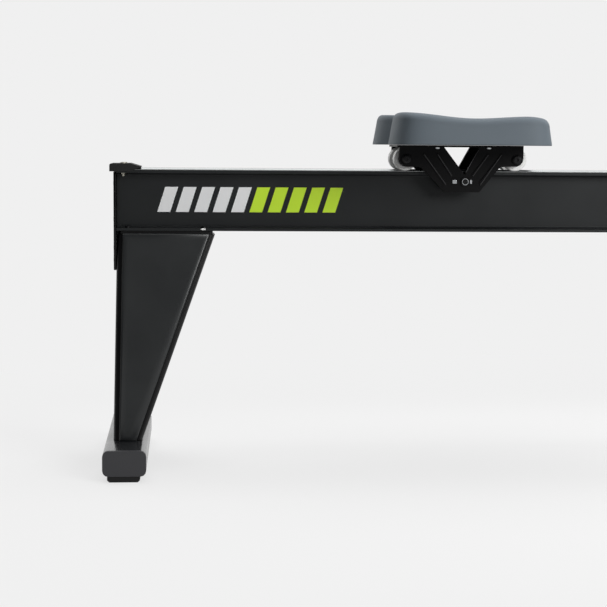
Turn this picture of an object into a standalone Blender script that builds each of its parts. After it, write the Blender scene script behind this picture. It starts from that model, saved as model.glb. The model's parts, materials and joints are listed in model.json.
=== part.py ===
"""Air rowing machine: a monorail with a rolling seat, and an air flywheel unit in front.

Metres, +Z up. +X runs from the rear of the rail to the flywheel, Y = 0 is the plane of
the chain, and +Y is the rower's left. All sizes are counted from the rear end of the
rail. The root empty then puts the origin on the floor, under the middle of the machine.
"""

import math

import bmesh
import bpy
from mathutils import Vector

# Clearances
GAP = 0.0003
RUNNING = 0.0003

# Small chamfer, weld overlap, and how far a cutting tool reaches past a surface
EDGE = 0.0010
WELD = 0.0020
OVERCUT = 0.0100

# Facets: large discs, round parts and small pins
DISC_STEPS = 36
ROUND_STEPS = 20
PIN_STEPS = 12
CORNER_STEPS = 3

# Rail
RAIL_END = 1.372
RAIL_HALF = 0.030
RAIL_TOP = 0.4240
RAIL_BOTTOM = 0.3376
FLANGE = 0.0040
WEB_HALF = 0.0120
WEB_WALL = 0.0028
FILLET = 0.0030
TRACK_SHEET = 0.0010
CROWN_HALF = 0.0145
CROWN_HEIGHT = 0.0030

# Rear end plate and the two stops
PLATE_THICK = 0.0035
PLATE_BOTTOM = 0.281
STOP_HALF = 0.0320
STOP_TOP = 0.4336
STOP_BACK = 0.0056
STOP_SKIRT_END = 0.0237
STOP_TIP = 0.0393
STOP_TIP_HEIGHT = 0.4290

# Legs and foot bars
LEG_TOP_NEAR = 0.0046
LEG_TOP_FAR = 0.1445
LEG_FOOT_NEAR = 0.0006
LEG_FOOT_FAR = 0.0414
LEG_SHEET = 0.0020
LEG_CORNER = 0.0080
LEG_NECK = 0.0030
LEG_NECK_HEIGHT = 0.0050
REAR_LEG_HALF = 0.0830
FRONT_LEG_HALF = 0.1300
BAR_CENTRE = 0.01875
BAR_WIDTH = 0.0600
BAR_HEIGHT = 0.0357
BAR_CORNER = 0.0080
BAR_WALL = 0.0020
REAR_BAR_HALF = 0.1555
FRONT_BAR_HALF = 0.3050
CAP_THICK = 0.0040
CAP_PLUG = 0.0200
PAD_HEIGHT = 0.0076
PAD_NEAR = -0.0046
PAD_FAR = 0.0403
PAD_LENGTH = 0.0480
PAD_EDGE = 0.0030

# Front frame
FRONT_PLANE = 2.34375
BEAM_WALL = 0.0030
BEAM_CORNER = 0.0030
PLATE_PROUD = 0.0030

# Fin of the front frame: its corners are counted from the nose roller and from the axle
FIN_THICK = 0.0025
FIN_BOTTOM = 0.3500
FIN_CORNER = 0.0100
COVER_SHEET = 0.0020
HOOD_REACH = 0.0280
HOOD_LIP = 0.0160
HOOD_TOP = 0.0400
HOOD_UNDER = 0.0300
HOOD_ROUND = 0.0120
CREST_BACK = 0.0300
CREST_RISE = 0.0920
CREST_ROUND = 0.0600
BROW_REACH = 0.1000
BROW_RISE = 0.0400
BROW_ROUND = 0.0800
CHIN_REACH = 0.1750
CHIN_SHARE = 0.26
CHIN_ROUND = 0.0600
FIN_TOE = 0.1650
FIN_HEEL = 0.0200
WAIST_REACH = 0.0600
WAIST_SHARE = 0.386
WAIST_ROUND = 0.0600

# Lug of the monitor arm on the fin
LUG_X = 1.860
LUG_Z = 0.7180
LUG_FOOT = 0.0400
LUG_HALF = 0.0220
LUG_RISE = 0.0180
LUG_ROUND = 0.0160

# Casters on the front foot bar
CASTER_RADIUS = 0.0280
CASTER_WIDTH = 0.0240
CASTER_LIFT = 0.0080
CASTER_REACH = 0.04575
CASTER_INSET = 0.0550
CASTER_PIN = 0.0040
CASTER_CROWN = 0.0020
CASTER_SIDE_GAP = 0.0012
EAR_THICK = 0.0030
EAR_RADIUS = 0.0120

# Seat and its carriage
SEAT_REAR = 0.3854
SEAT_LENGTH = 0.2271
SEAT_HALF = 0.1580
SEAT_BOTTOM = 0.4627
SEAT_TOP = 0.5085
SEAT_EDGE = 0.0110
SEAT_DRAFT = 0.0045
SEAT_LEAN = 0.0040
NOTCH_DEPTH = 0.0260
NOTCH_HALF = 0.0420
SEAT_POWER = 7.0
SEAT_CROWD = 0.45
SEAT_STEPS = 72
SEAT_RINGS = (0.15, 0.37, 0.65)

# Dished top of the seat, its places along the seat as shares of its length: slope, dip, two
# wells, channel and front droop
SEAT_SLOPE = 0.0260
DIP_DEPTH = 0.0062
DIP_AT = 0.4694
DIP_REACH = 0.2642
WELL_DEPTH = 0.0060
WELL_AT = 0.4077
WELL_REACH = 0.2422
WELL_Y = 0.0620
WELL_HALF = 0.0380
CHANNEL_DEPTH = 0.0030
CHANNEL_AT = 0.1964
CHANNEL_REACH = 0.3523
CHANNEL_HALF = 0.0180
DROOP = 0.0065
DROOP_AT = 0.7908

# Carriage of the seat; its places along the rail are shares of its length
CARRIAGE_SET_BACK = 0.0186
CARRIAGE_SHORT = 0.0255
CARRIAGE_TOP = 0.4624
CARRIAGE_DECK = 0.0027
CHEEK_INNER = 0.0370
CHEEK_OUTER = 0.0440
CHEEK_BOTTOM = 0.3955
CHEEK_SET_BACK = 0.0030
ARM_UNDER_Z = 0.4315
ARM_CORNER = 0.0110
WAIST_REAR = 0.1885
FOOT_REAR = 0.3798
FOOT_FRONT = 0.6530
WAIST_FRONT = 0.8142
WAIST_CORNER = 0.0080
VEE_REAR = 0.3705
VEE_FRONT = 0.6563
VEE_POINT = 0.5366
VEE_Z = 0.4202
RIB_HALF = 0.0011
RIB_PROUD = 0.0020
RIB_BOTTOM_Z = 0.4085
RIB_SHORT_Z = 0.4200
RIB_TOP_Z = 0.4495
REAR_RIBS = ((0.2087, 0.3913), (0.3180, 0.4350))
FRONT_RIBS = ((0.8268, 0.6557), (0.7213, 0.5967))
TAB_REAR = (0.4372, 0.4781)
TAB_FRONT = (0.5765, 0.5940)
TAB_HALF = 0.0045
TAB_PROUD = 0.0015
ROLLER_RADIUS = 0.0168
ROLLER_INNER = 0.0180
ROLLER_OUTER = 0.0340
ROLLER_ROUND = 0.0015
ROLLER_FACE = 0.0131
ROLLER_STEP = 0.0019
REAR_AXLE_IN = 0.0133
FRONT_AXLE_IN = 0.0098
AXLE_RADIUS = 0.0040
BOLT_HEAD = 0.0065
BOLT_HEAD_HEIGHT = 0.0042
GUIDE_AT = 0.53934
GUIDE_RADIUS = 0.0092
GUIDE_INNER = 0.0170
GUIDE_OUTER = 0.0290

# Joint of the rail and the front frame
TONGUE_REAR = 1.260
TONGUE_FRONT = 1.440
TONGUE_HALF = 0.0180
TONGUE_THICK = 0.0118
TONGUE_CORNER = 0.0050
SADDLE_REAR = 1.3763
SADDLE_FRONT = 1.4560
SADDLE_WALL = 0.0077
SADDLE_BOTTOM = 0.3075
LOCK_X = 1.4250
LOCK_Z = 0.3129
LOCK_CAM = 0.0120
LOCK_LENGTH = 0.1250
LOCK_HALF = 0.0100
LOCK_THICK = 0.0060
LOCK_KNEE = 0.0875
LOCK_BEND = 0.0200
LOCK_TIP = 0.0025
PIN_PROUD = 0.0010

# Chain, sprocket and nose roller
CHAIN_Z = 0.6600
CHAIN_PITCH = 0.0127
CHAIN_HALF = 0.0045
CHAIN_LOBE = 0.0042
CHAIN_WAIST = 0.0031
TEETH = 14
TOOTH_DEPTH = 0.0040
TOOTH_RISE = 0.0030
TOOTH_FOOT = 0.35
TOOTH_TIP = 0.08
SPROCKET_THICK = 0.0028
SPROCKET_HUB = 0.0165
SPROCKET_HUB_HALF = 0.0120
SPROCKET_CLEAR = 0.0030
NOSE_X = 1.6400
NOSE_ROLLER = 0.0155
NOSE_FLANGE = 0.0195
NOSE_FLANGE_WIDTH = 0.0035
NOSE_PIN = 0.0050

# Flywheel and its housing
AXLE_X = 2.0900
AXLE_Z = 0.6000
SHAFT_RADIUS = 0.0085
BEARING_RADIUS = 0.0157
BEARING_WIDTH = 0.0110
BEARING_RACE = 0.0018
SEAL_SUNK = 0.0006
SHAFT_PROUD = 0.0030
SHAFT_CLEAR = 0.0030
FAN_TIP_GAP = 0.0098
HOUSING_SHEET = 0.0015
SCREEN_WALL = 0.0015
SCREEN_WIDTH = 0.1118
SCREEN_SLOTS = 28
SCREEN_RIM = 0.0100
SCREEN_MIDDLE = 0.0080
SLOT_SHARE = 0.64
BOSS_RADIUS = 0.0300
BOSS_HEIGHT = 0.0160
FAN_RADIUS = 0.2500
BLADE_LENGTH = 0.1200
FAN_BLADES = 24
BLADE_THICK = 0.0022
BLADE_INSET = 0.0010
BLADE_SWEEP = 0.0180
FAN_DISC = 0.0040
FAN_RING = 0.0350
FAN_SIDE_GAP = 0.0180
FAN_HUB = 0.0280
HUB_CONE = 0.0450
HUB_NEAR = 0.0080
HUB_STEP = 0.0120
HUB_FAR = 0.0360
WINDOWS = 5
WINDOW_INNER = 0.0700
WINDOW_MARGIN = 0.0650
WINDOW_ANGLE = 34.0
DAMPER_OVERLAP = 0.0150
DAMPER_SHEET = 0.0020
DAMPER_LEVER = 0.0280
DAMPER_LEAN = 30.0
LEVER_ROOT = 0.0120
LEVER_ROOT_HALF = 0.0100
LEVER_TIP_HALF = 0.0070
LEVER_CORNER = 0.0040

# Footboards
HEEL_X = 1.4250
HEEL_Z = 0.3750
FOOT_Y = 0.1200
FOOT_PITCH = 42.0
BOARD_LENGTH = 0.3300
BOARD_HALF = 0.0625
BOARD_THICK = 0.0120
BOARD_CORNER = 0.0200
GROOVES = 4
GROOVE_START = 0.0200
GROOVE_PITCH = 0.0180
GROOVE_WIDTH = 0.0050
GROOVE_HALF = 0.0470
STRAP_AT = 0.2000
STRAP_WIDTH = 0.0350
STRAP_THICK = 0.0020
STRAP_HALF = 0.0530
STRAP_RISE = 0.0750
STRAP_STRAIGHT = 0.0200
STRAP_BELOW = 0.0040
ARCH_STEPS = 14
CUP_START = 0.0040
CUP_LENGTH = 0.1100
CUP_HALF = 0.0460
CUP_HEIGHT = 0.0450
CUP_WALL = 0.0040
CUP_CURVE = 0.0300
CUP_CORNER = 0.0080
CUP_SLOPE_START = 0.0350
CUP_SLOPE_END = 0.0935
CUP_LIP = 0.0060
CROSS_TUBE_X = 1.5450
CROSS_TUBE = 0.0240
CROSS_HALF = 0.1650
CRADLE_SHEET = 0.0030
CRADLE_HALF = 0.0300
CRADLE_NEAR = 0.0600
CRADLE_FAR = 0.2600
GUSSET_HALF = 0.0020
GUSSET_INSET = 0.0200

# Handle
HANDLE_X = 1.5850
HANDLE_HALF = 0.2350
HANDLE_ANGLE = 10.0
HANDLE_ROD = 0.0110
GRIP_RADIUS = 0.0160
GRIP_START = 0.0450
YOKE_HALF = 0.0300
YOKE_REAR = 0.0160
YOKE_FRONT = 0.0140
YOKE_THICK_HALF = 0.0140
YOKE_CORNER = 0.0100
GRIP_CAP = 0.0040
GRIP_NECK = 0.0147
GRIP_TIP = 0.0120
GRIP_ROUND = 0.0060
SWIVEL_END = 0.0300
SWIVEL_RADIUS = 0.0060

# Monitor
HEAD_X = 1.6000
HEAD_Z = 1.0800
ARM_DEPTH = 0.0220
ARM_HALF = 0.0110
ARM_STEPS = 8
ARM_BEND_BACK = 0.0200
ARM_BEND_RISE = 0.75
ARM_HUB = 0.0155
ARM_HEAD = 0.0100
ARM_HEAD_HALF = 0.0180
MONITOR_EAR = 0.0057
MONITOR_TILT = 10.0
MONITOR_FACE = -0.0550
MONITOR_BACK = -0.0120
MONITOR_HALF = 0.0875
MONITOR_LOW = -0.0750
MONITOR_HIGH = 0.0800
SCREEN_HALF = 0.0660
SCREEN_LOW = -0.0200
SCREEN_HIGH = 0.0620
SCREEN_THICK = 0.0020
SCREEN_SUNK = 0.0005
MONITOR_CORNER = 0.0140
MONITOR_EDGE = 0.0030
BUTTON_Y = 0.0420
BUTTON_Z = -0.0480
BUTTON_HALF_Y = 0.0120
BUTTON_HALF_Z = 0.0080
BUTTON_PROUD = 0.0015
BUTTON_DEPTH = 0.0040
BUTTON_TRAVEL = 0.0010

# Worked out from the sizes above
TRACK_BOTTOM = RAIL_TOP + GAP
TRACK_SHOULDER = TRACK_BOTTOM + TRACK_SHEET
TRACK_CROWN = TRACK_BOTTOM + CROWN_HEIGHT
ROLLER_Z = TRACK_SHOULDER + GAP + ROLLER_RADIUS
GUIDE_Z = RAIL_TOP - FLANGE - GAP - GUIDE_RADIUS
BAR_BOTTOM = PAD_HEIGHT + GAP
BAR_TOP = BAR_BOTTOM + BAR_HEIGHT
RAIL_START = PLATE_THICK + GAP
BEAM_START = RAIL_END + GAP
BEAM_END = FRONT_PLANE - PLATE_THICK / 2
FRONT_BAR_X = FRONT_PLANE - BAR_CENTRE
CASTER_X = FRONT_BAR_X + BAR_WIDTH / 2 + CASTER_REACH
CASTER_Y = FRONT_BAR_HALF - CASTER_INSET
CASTER_Z = CASTER_LIFT + CASTER_RADIUS
PITCH_RADIUS = CHAIN_PITCH / (2 * math.sin(math.pi / TEETH))
TOOTH_RADIUS = PITCH_RADIUS + TOOTH_RISE
CHAIN_START = Vector((HANDLE_X + SWIVEL_END + GAP, CHAIN_Z))
CHAIN_NOSE = Vector((NOSE_X, CHAIN_Z))
CHAIN_END = Vector((AXLE_X, AXLE_Z + PITCH_RADIUS))
FIN_INNER = RAIL_HALF + GAP
FIN_OUTER = FIN_INNER + FIN_THICK
HOUSING_RADIUS = FAN_RADIUS + FAN_TIP_GAP + SCREEN_WALL
WINDOW_OUTER = FAN_RADIUS - WINDOW_MARGIN
DAMPER_RADIUS = WINDOW_OUTER + DAMPER_OVERLAP
LEVER_RADIUS = HOUSING_RADIUS + DAMPER_LEVER
BLADE_ROOT = FAN_RADIUS - BLADE_LENGTH
HOUSING_NEAR = -(FIN_OUTER + GAP)
SCREEN_NEAR = HOUSING_NEAR - HOUSING_SHEET - GAP
SCREEN_FAR = SCREEN_NEAR - SCREEN_WIDTH
OUTER_NEAR = SCREEN_FAR - GAP
OUTER_FAR = OUTER_NEAR - HOUSING_SHEET
NOSE_ROLLER_Z = CHAIN_Z - CHAIN_LOBE - GAP - NOSE_ROLLER
SEAT_FRONT = SEAT_REAR + SEAT_LENGTH
CARRIAGE_REAR = SEAT_REAR + CARRIAGE_SET_BACK
CARRIAGE_FRONT = SEAT_FRONT - CARRIAGE_SHORT
REAR_AXLE_X = CARRIAGE_REAR + REAR_AXLE_IN
FRONT_AXLE_X = CARRIAGE_FRONT - FRONT_AXLE_IN
GUIDE_X = CARRIAGE_REAR + GUIDE_AT * (CARRIAGE_FRONT - CARRIAGE_REAR)
REAR_END = BAR_CENTRE - BAR_WIDTH / 2
FRONT_END = CASTER_X + CASTER_RADIUS
CENTRE_X = (REAR_END + FRONT_END) / 2

# Finishes: colour, roughness, metallic
BLACK_PAINT = ((0.028, 0.028, 0.030), 0.45, 0.0)
DARK_ALUMINIUM = ((0.036, 0.037, 0.037), 0.38, 0.3)
STEEL = ((0.60, 0.60, 0.60), 0.30, 1.0)
BLACK_PLASTIC = ((0.020, 0.020, 0.021), 0.50, 0.0)
GREY_PLASTIC = ((0.045, 0.045, 0.048), 0.55, 0.0)
SEAT_GREY = ((0.145, 0.170, 0.195), 0.60, 0.0)
ROLLER_WHITE = ((0.62, 0.61, 0.58), 0.40, 0.0)
RUBBER = ((0.016, 0.016, 0.016), 0.80, 0.0)
WEBBING = ((0.020, 0.020, 0.022), 0.90, 0.0)
SCREEN_GREEN = ((0.35, 0.38, 0.32), 0.15, 0.0)
BUTTON_GREY = ((0.30, 0.31, 0.32), 0.60, 0.0)


def clear_scene():
    """Take away whatever the file starts with."""
    for obj in list(bpy.data.objects):
        bpy.data.objects.remove(obj, do_unlink=True)


def new_object(name, bm):
    """Make an object of a bmesh, with its faces pointing out."""
    bmesh.ops.recalc_face_normals(bm, faces=bm.faces)
    mesh = bpy.data.meshes.new(name)
    bm.to_mesh(mesh)
    bm.free()
    obj = bpy.data.objects.new(name, mesh)
    bpy.context.scene.collection.objects.link(obj)
    return obj


def bake(obj):
    """Replace an object's mesh by the one its modifiers give."""
    bpy.context.view_layer.update()
    graph = bpy.context.evaluated_depsgraph_get()
    mesh = bpy.data.meshes.new_from_object(obj.evaluated_get(graph))
    obj.modifiers.clear()
    obj.data = mesh


def combine(target, tool, operation):
    """Apply a Boolean of two objects and drop the tool."""
    modifier = target.modifiers.new(operation.lower(), "BOOLEAN")
    modifier.operation = operation
    modifier.object = tool
    bake(target)
    bpy.data.objects.remove(tool, do_unlink=True)
    return target


def union(target, *tools):
    """Weld solids to the first one."""
    for tool in tools:
        combine(target, tool, "UNION")
    return target


def cut(target, *tools):
    """Cut solids out of the first one."""
    for tool in tools:
        combine(target, tool, "DIFFERENCE")
    return target


def bevel(obj, width, segments=2, angle=40.0):
    """Round the sharp edges of an object."""
    modifier = obj.modifiers.new("bevel", "BEVEL")
    modifier.width = width
    modifier.segments = segments
    modifier.limit_method = "ANGLE"
    modifier.angle_limit = math.radians(angle)
    bake(obj)
    return obj


def prism(name, outline, low, high, axis="Y"):
    """Extrude an outline along an axis: (x, z) along Y, (y, z) along X or (x, y) along Z."""
    place = {
        "X": lambda a, b, c: (c, a, b),
        "Y": lambda a, b, c: (a, c, b),
        "Z": lambda a, b, c: (a, b, c),
    }[axis]
    bm = bmesh.new()
    near, far = ([bm.verts.new(place(a, b, c)) for a, b in outline] for c in (low, high))
    bm.faces.new(near)
    bm.faces.new(far)
    for i in range(len(outline)):
        bm.faces.new((near[i - 1], near[i], far[i], far[i - 1]))
    return new_object(name, bm)


def box(name, xs, ys, zs):
    """A block between two corners, given as (low, high) pairs."""
    outline = [(xs[0], zs[0]), (xs[1], zs[0]), (xs[1], zs[1]), (xs[0], zs[1])]
    return prism(name, outline, ys[0], ys[1])


def lathe(name, profile, steps=ROUND_STEPS, axis="Y", ring=False):
    """Turn a profile of (radius, along) points about an axis; a ring's profile closes."""
    place = {
        "X": lambda r, h, c, s: (h, r * c, r * s),
        "Y": lambda r, h, c, s: (r * c, h, r * s),
        "Z": lambda r, h, c, s: (r * c, r * s, h),
    }[axis]
    turns = [math.tau * i / steps for i in range(steps)]
    bm = bmesh.new()
    rings = []
    for radius, along in profile:
        if radius < GAP:
            rings.append([bm.verts.new(place(0, along, 1, 0))])
        else:
            rings.append([bm.verts.new(place(radius, along, math.cos(t), math.sin(t))) for t in turns])
    pairs = list(zip(rings, rings[1:]))
    if ring:
        pairs.append((rings[-1], rings[0]))
    for one, two in pairs:
        if len(one) == len(two) == 1:
            continue
        for i in range(steps):
            if len(one) == 1:
                bm.faces.new((one[0], two[i], two[i - 1]))
            elif len(two) == 1:
                bm.faces.new((one[i - 1], one[i], two[0]))
            else:
                bm.faces.new((one[i - 1], one[i], two[i], two[i - 1]))
    return new_object(name, bm)


def rod(name, radius, low, high, steps=ROUND_STEPS, axis="Y"):
    """A plain round bar."""
    return lathe(name, [(0, low), (radius, low), (radius, high), (0, high)], steps, axis)


def washer(name, outer, bore, low, high, steps=ROUND_STEPS, axis="Y"):
    """A plain round bar with a bore."""
    return lathe(name, [(outer, low), (outer, high), (bore, high), (bore, low)], steps, axis, True)


def moved(obj, x=0.0, y=0.0, z=0.0):
    """Shift an object's mesh, and leave its origin."""
    for vertex in obj.data.vertices:
        vertex.co += Vector((x, y, z))
    return obj


def arc(centre, radius, start, end, steps):
    """Points along an arc, angles in degrees."""
    turns = [math.radians(start + (end - start) * i / steps) for i in range(steps + 1)]
    return [(centre[0] + radius * math.cos(t), centre[1] + radius * math.sin(t)) for t in turns]


def rounded(corners, steps=CORNER_STEPS, closed=True):
    """Outline through corners given as (a, b, radius), each turned into an arc."""
    points = []
    count = len(corners)
    for i, (a, b, radius) in enumerate(corners):
        here = Vector((a, b))
        if radius == 0 or (not closed and i in (0, count - 1)):
            points.append((a, b))
            continue
        back = (Vector(corners[i - 1][:2]) - here).normalized()
        ahead = (Vector(corners[(i + 1) % count][:2]) - here).normalized()
        half = back.angle(ahead) / 2
        reach = radius / math.tan(half)
        centre = here + (back + ahead).normalized() * radius / math.sin(half)
        first = here + back * reach - centre
        last = here + ahead * reach - centre
        start = math.degrees(math.atan2(first.y, first.x))
        sweep = (math.degrees(math.atan2(last.y, last.x)) - start + 180) % 360 - 180
        points += arc(centre, radius, start, start + sweep, steps)
    return points


def rounded_rectangle(a, b, radius, steps=CORNER_STEPS):
    """Outline of a rectangle between two (low, high) pairs, with round corners."""
    corners = [(a[0], b[0]), (a[1], b[0]), (a[1], b[1]), (a[0], b[1])]
    return rounded([(x, y, radius) for x, y in corners], steps)


def ribbon(points, thickness):
    """Outline of a sheet of even thickness on the right-hand side of a path."""
    inner = []
    for i, point in enumerate(points):
        back = Vector(points[max(i - 1, 0)])
        ahead = Vector(points[min(i + 1, len(points) - 1)])
        along = (ahead - back).normalized()
        inner.append((point[0] + along.y * thickness, point[1] - along.x * thickness))
    return list(points) + inner[::-1]


def finish(obj, look, parent, at=(0.0, 0.0, 0.0), tilt=0.0):
    """Place a sub-part in the machine and give it its own material."""
    colour, roughness, metallic = look
    surface = bpy.data.materials.new(obj.name + "_finish")
    surface.use_nodes = True
    shader = surface.node_tree.nodes["Principled BSDF"]
    shader.inputs["Base Color"].default_value = (*colour, 1.0)
    shader.inputs["Roughness"].default_value = roughness
    shader.inputs["Metallic"].default_value = metallic
    obj.data.materials.clear()
    obj.data.materials.append(surface)
    obj.data.shade_smooth()
    obj.data.set_sharp_from_angle(angle=math.radians(32))
    obj.parent = parent
    obj.location = at
    obj.rotation_euler = (0.0, math.radians(tilt), 0.0)
    return obj


def rail_section():
    """Half-symmetrical I section of the rail, as (y, z) points."""
    low, high = RAIL_BOTTOM + FLANGE, RAIL_TOP - FLANGE
    right = [
        (RAIL_HALF, RAIL_BOTTOM),
        (RAIL_HALF, low),
        (WEB_HALF + FILLET, low),
        (WEB_HALF, low + FILLET),
        (WEB_HALF, high - FILLET),
        (WEB_HALF + FILLET, high),
        (RAIL_HALF, high),
        (RAIL_HALF, RAIL_TOP),
    ]
    return right + [(-y, z) for y, z in reversed(right)]


def monorail(root):
    """Extruded rail with a hollow web, open at the front."""
    rail = prism("monorail", rail_section(), RAIL_START, RAIL_END, "X")
    hollow = WEB_HALF - WEB_WALL
    zs = (RAIL_BOTTOM + FLANGE, RAIL_TOP - FLANGE)
    ends = (RAIL_START - BEAM_WALL, RAIL_END + BEAM_WALL)
    cut(rail, box("hollow", ends, (-hollow, hollow), zs))
    finish(rail, DARK_ALUMINIUM, root)


def steel_track(root):
    """Steel strip on the rail: a raised crown between two running shoulders."""
    edge = RAIL_HALF - GAP
    slope = CROWN_HEIGHT - TRACK_SHEET
    right = [
        (edge, TRACK_BOTTOM),
        (edge, TRACK_SHOULDER),
        (CROWN_HALF + slope, TRACK_SHOULDER),
        (CROWN_HALF, TRACK_CROWN),
    ]
    section = right + [(-y, z) for y, z in reversed(right)]
    finish(prism("steel_track", section, RAIL_START, RAIL_END, "X"), STEEL, root)


def stop_profile(overhang):
    """Side outline of a stop, counted from its end of the rail."""
    back = -STOP_BACK if overhang else GAP
    radius = STOP_BACK / 2
    skirt = RAIL_TOP - FLANGE / 2
    return rounded([
        (back, skirt, 0),
        (back, STOP_TOP - GAP, radius),
        (STOP_SKIRT_END, STOP_TOP, radius),
        (STOP_TIP, STOP_TIP_HEIGHT, GAP),
        (STOP_TIP - GAP * 4, TRACK_CROWN + GAP, 0),
        (STOP_SKIRT_END, skirt, 0),
    ])


def stop(name, root, overhang, place):
    """Rubber stop that grips the flange; place turns a distance into a position along X."""
    outline = [(place(u), z) for u, z in stop_profile(overhang)]
    body = prism(name, outline, -STOP_HALF, STOP_HALF)
    inner = RAIL_HALF + GAP
    reach = sorted((place(-GAP if overhang else -STOP_BACK), place(STOP_TIP + STOP_BACK)))
    zs = (RAIL_BOTTOM, TRACK_CROWN + GAP)
    cut(body, box("seat", reach, (-inner, inner), zs))
    finish(body, BLACK_PLASTIC, root)


def end_plate(root):
    """Plate that closes the rail's rear end and reaches down over the leg."""
    corner = PLATE_THICK
    section = rounded_rectangle((-RAIL_HALF, RAIL_HALF), (PLATE_BOTTOM, RAIL_TOP - FLANGE / 2 - GAP), corner)
    finish(prism("rear_end_plate", section, 0.0, PLATE_THICK, "X"), BLACK_PAINT, root)


def leg(name, root, foot_half, place):
    """Folded sheet leg that flares towards the floor, with a narrower neck under the rail."""
    rail = RAIL_BOTTOM - GAP
    top = ((LEG_TOP_NEAR, LEG_TOP_FAR), RAIL_HALF)
    foot = ((LEG_FOOT_NEAR, LEG_FOOT_FAR), foot_half, 0.0, BAR_TOP + GAP)
    levels = (
        (*top, LEG_NECK, rail),
        (*top, LEG_NECK, rail - LEG_NECK_HEIGHT),
        (*top, 0.0, rail - LEG_NECK_HEIGHT),
        foot,
        (*foot[:2], LEG_SHEET, foot[3]),
        (*top, LEG_NECK + LEG_SHEET, rail),
    )
    bm = bmesh.new()
    loops = []
    for xs, half, inset, z in levels:
        span = sorted((place(xs[0]), place(xs[1])))
        sides = ((span[0] + inset, span[1] - inset), (inset - half, half - inset))
        outline = rounded_rectangle(*sides, LEG_CORNER - inset)
        loops.append([bm.verts.new((x, y, z)) for x, y in outline])
    for one, two in zip(loops, loops[1:] + loops[:1]):
        for i in range(len(one)):
            bm.faces.new((one[i - 1], one[i], two[i], two[i - 1]))
    finish(new_object(name, bm), BLACK_PAINT, root)


def bar_outline(centre, shrink=0.0, low=0.0):
    """Section of a foot bar, as (x, z) points."""
    half = BAR_WIDTH / 2 - shrink
    zs = (BAR_BOTTOM + shrink - low, BAR_TOP - shrink)
    return rounded_rectangle((centre - half, centre + half), zs, BAR_CORNER - shrink)


def foot_bar(name, centre, half):
    """Hollow cross bar, open at both ends."""
    end = half - CAP_THICK - GAP
    bar = prism(name, bar_outline(centre), -end, end)
    return cut(bar, prism("bore", bar_outline(centre, BAR_WALL), -half, half))


def end_cap(name, centre, half, side, foot):
    """Moulded plug of a foot bar; with foot, its rubber foot is part of it."""
    inner = half - CAP_THICK
    body = prism(name, bar_outline(centre), side * inner, side * half)
    fit = BAR_WALL + GAP
    plug = prism("plug", bar_outline(centre, fit), side * (inner - CAP_PLUG), side * (inner + CAP_THICK / 2))
    union(body, plug)
    if foot:
        pad = foot_pad("pad", centre - BAR_CENTRE, half, side)
        skirt_top = BAR_BOTTOM + BAR_CORNER
        xs = (centre - BAR_CENTRE + PAD_NEAR, centre - BAR_CENTRE + PAD_FAR)
        ys = sorted((side * (inner + GAP), side * half))
        skirt = box("skirt", (xs[0] + PAD_EDGE, xs[1] - PAD_EDGE), ys, (PAD_EDGE, skirt_top))
        union(body, pad, skirt)
    return body


def foot_pad(name, shift, half, side):
    """Rubber foot under the end of a bar, with a chamfered sole."""
    xs = (PAD_NEAR + shift, PAD_FAR + shift)
    outline = [
        (xs[0] + PAD_EDGE, 0.0),
        (xs[1] - PAD_EDGE, 0.0),
        (xs[1], PAD_EDGE),
        (xs[1], PAD_HEIGHT),
        (xs[0], PAD_HEIGHT),
        (xs[0], PAD_EDGE),
    ]
    return prism(name, outline, side * (half - PAD_LENGTH), side * half)


def rear_support(root):
    """Rear leg, its foot bar, the two caps and the two rubber feet."""
    leg("rear_leg", root, REAR_LEG_HALF, lambda u: u)
    finish(foot_bar("rear_foot_bar", BAR_CENTRE, REAR_BAR_HALF), BLACK_PAINT, root)
    for side, word in ((1, "left"), (-1, "right")):
        cap = end_cap("rear_foot_cap_" + word, BAR_CENTRE, REAR_BAR_HALF, side, False)
        finish(cap, GREY_PLASTIC, root)
        pad = foot_pad("rear_foot_pad_" + word, 0.0, REAR_BAR_HALF, side)
        finish(pad, RUBBER, root)


def caster_ears(bar, side):
    """Weld the two ears of a caster to the front foot bar."""
    front = FRONT_BAR_X + BAR_WIDTH / 2
    half = CASTER_WIDTH / 2 + CASTER_SIDE_GAP
    for way in (-1, 1):
        inner = side * CASTER_Y + way * half
        outline = arc((CASTER_X, CASTER_Z), EAR_RADIUS, -90, 90, 8)
        outline += [(front - BAR_WALL, CASTER_Z + EAR_RADIUS * 0.6)]
        outline += [(front - BAR_WALL, CASTER_Z - EAR_RADIUS * 1.2)]
        ear = prism("ear", outline, inner, inner + way * EAR_THICK)
        reach = (inner - way * CASTER_SIDE_GAP, inner + way * EAR_THICK * 2)
        hole = rod("hole", CASTER_PIN + RUNNING, *reach, PIN_STEPS)
        cut(ear, moved(hole, CASTER_X, 0.0, CASTER_Z))
        union(bar, ear)


def caster_wheel(name, root, side):
    """Hard wheel with its pin, just off the floor until the machine is tipped up."""
    half = CASTER_WIDTH / 2
    pin = half + CASTER_SIDE_GAP + EAR_THICK
    right = [
        (CASTER_RADIUS, 0),
        (CASTER_RADIUS - CASTER_CROWN, half),
        (CASTER_PIN, half),
        (CASTER_PIN, pin),
        (0, pin),
    ]
    profile = [(r, -y) for r, y in reversed(right[1:])] + right
    wheel = lathe(name, profile)
    finish(wheel, GREY_PLASTIC, root, (CASTER_X, side * CASTER_Y, CASTER_Z))


def front_support(root):
    """Front leg, the wide foot bar with caster ears, caps with feet, and caster wheels."""
    leg("front_leg", root, FRONT_LEG_HALF, lambda u: FRONT_PLANE - u)
    bar = foot_bar("front_foot_bar", FRONT_BAR_X, FRONT_BAR_HALF)
    for side in (1, -1):
        caster_ears(bar, side)
    finish(bar, BLACK_PAINT, root)
    for side, word in ((1, "left"), (-1, "right")):
        cap = end_cap("front_foot_cap_" + word, FRONT_BAR_X, FRONT_BAR_HALF, side, True)
        finish(cap, GREY_PLASTIC, root)
        caster_wheel("caster_wheel_" + word, root, side)


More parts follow.
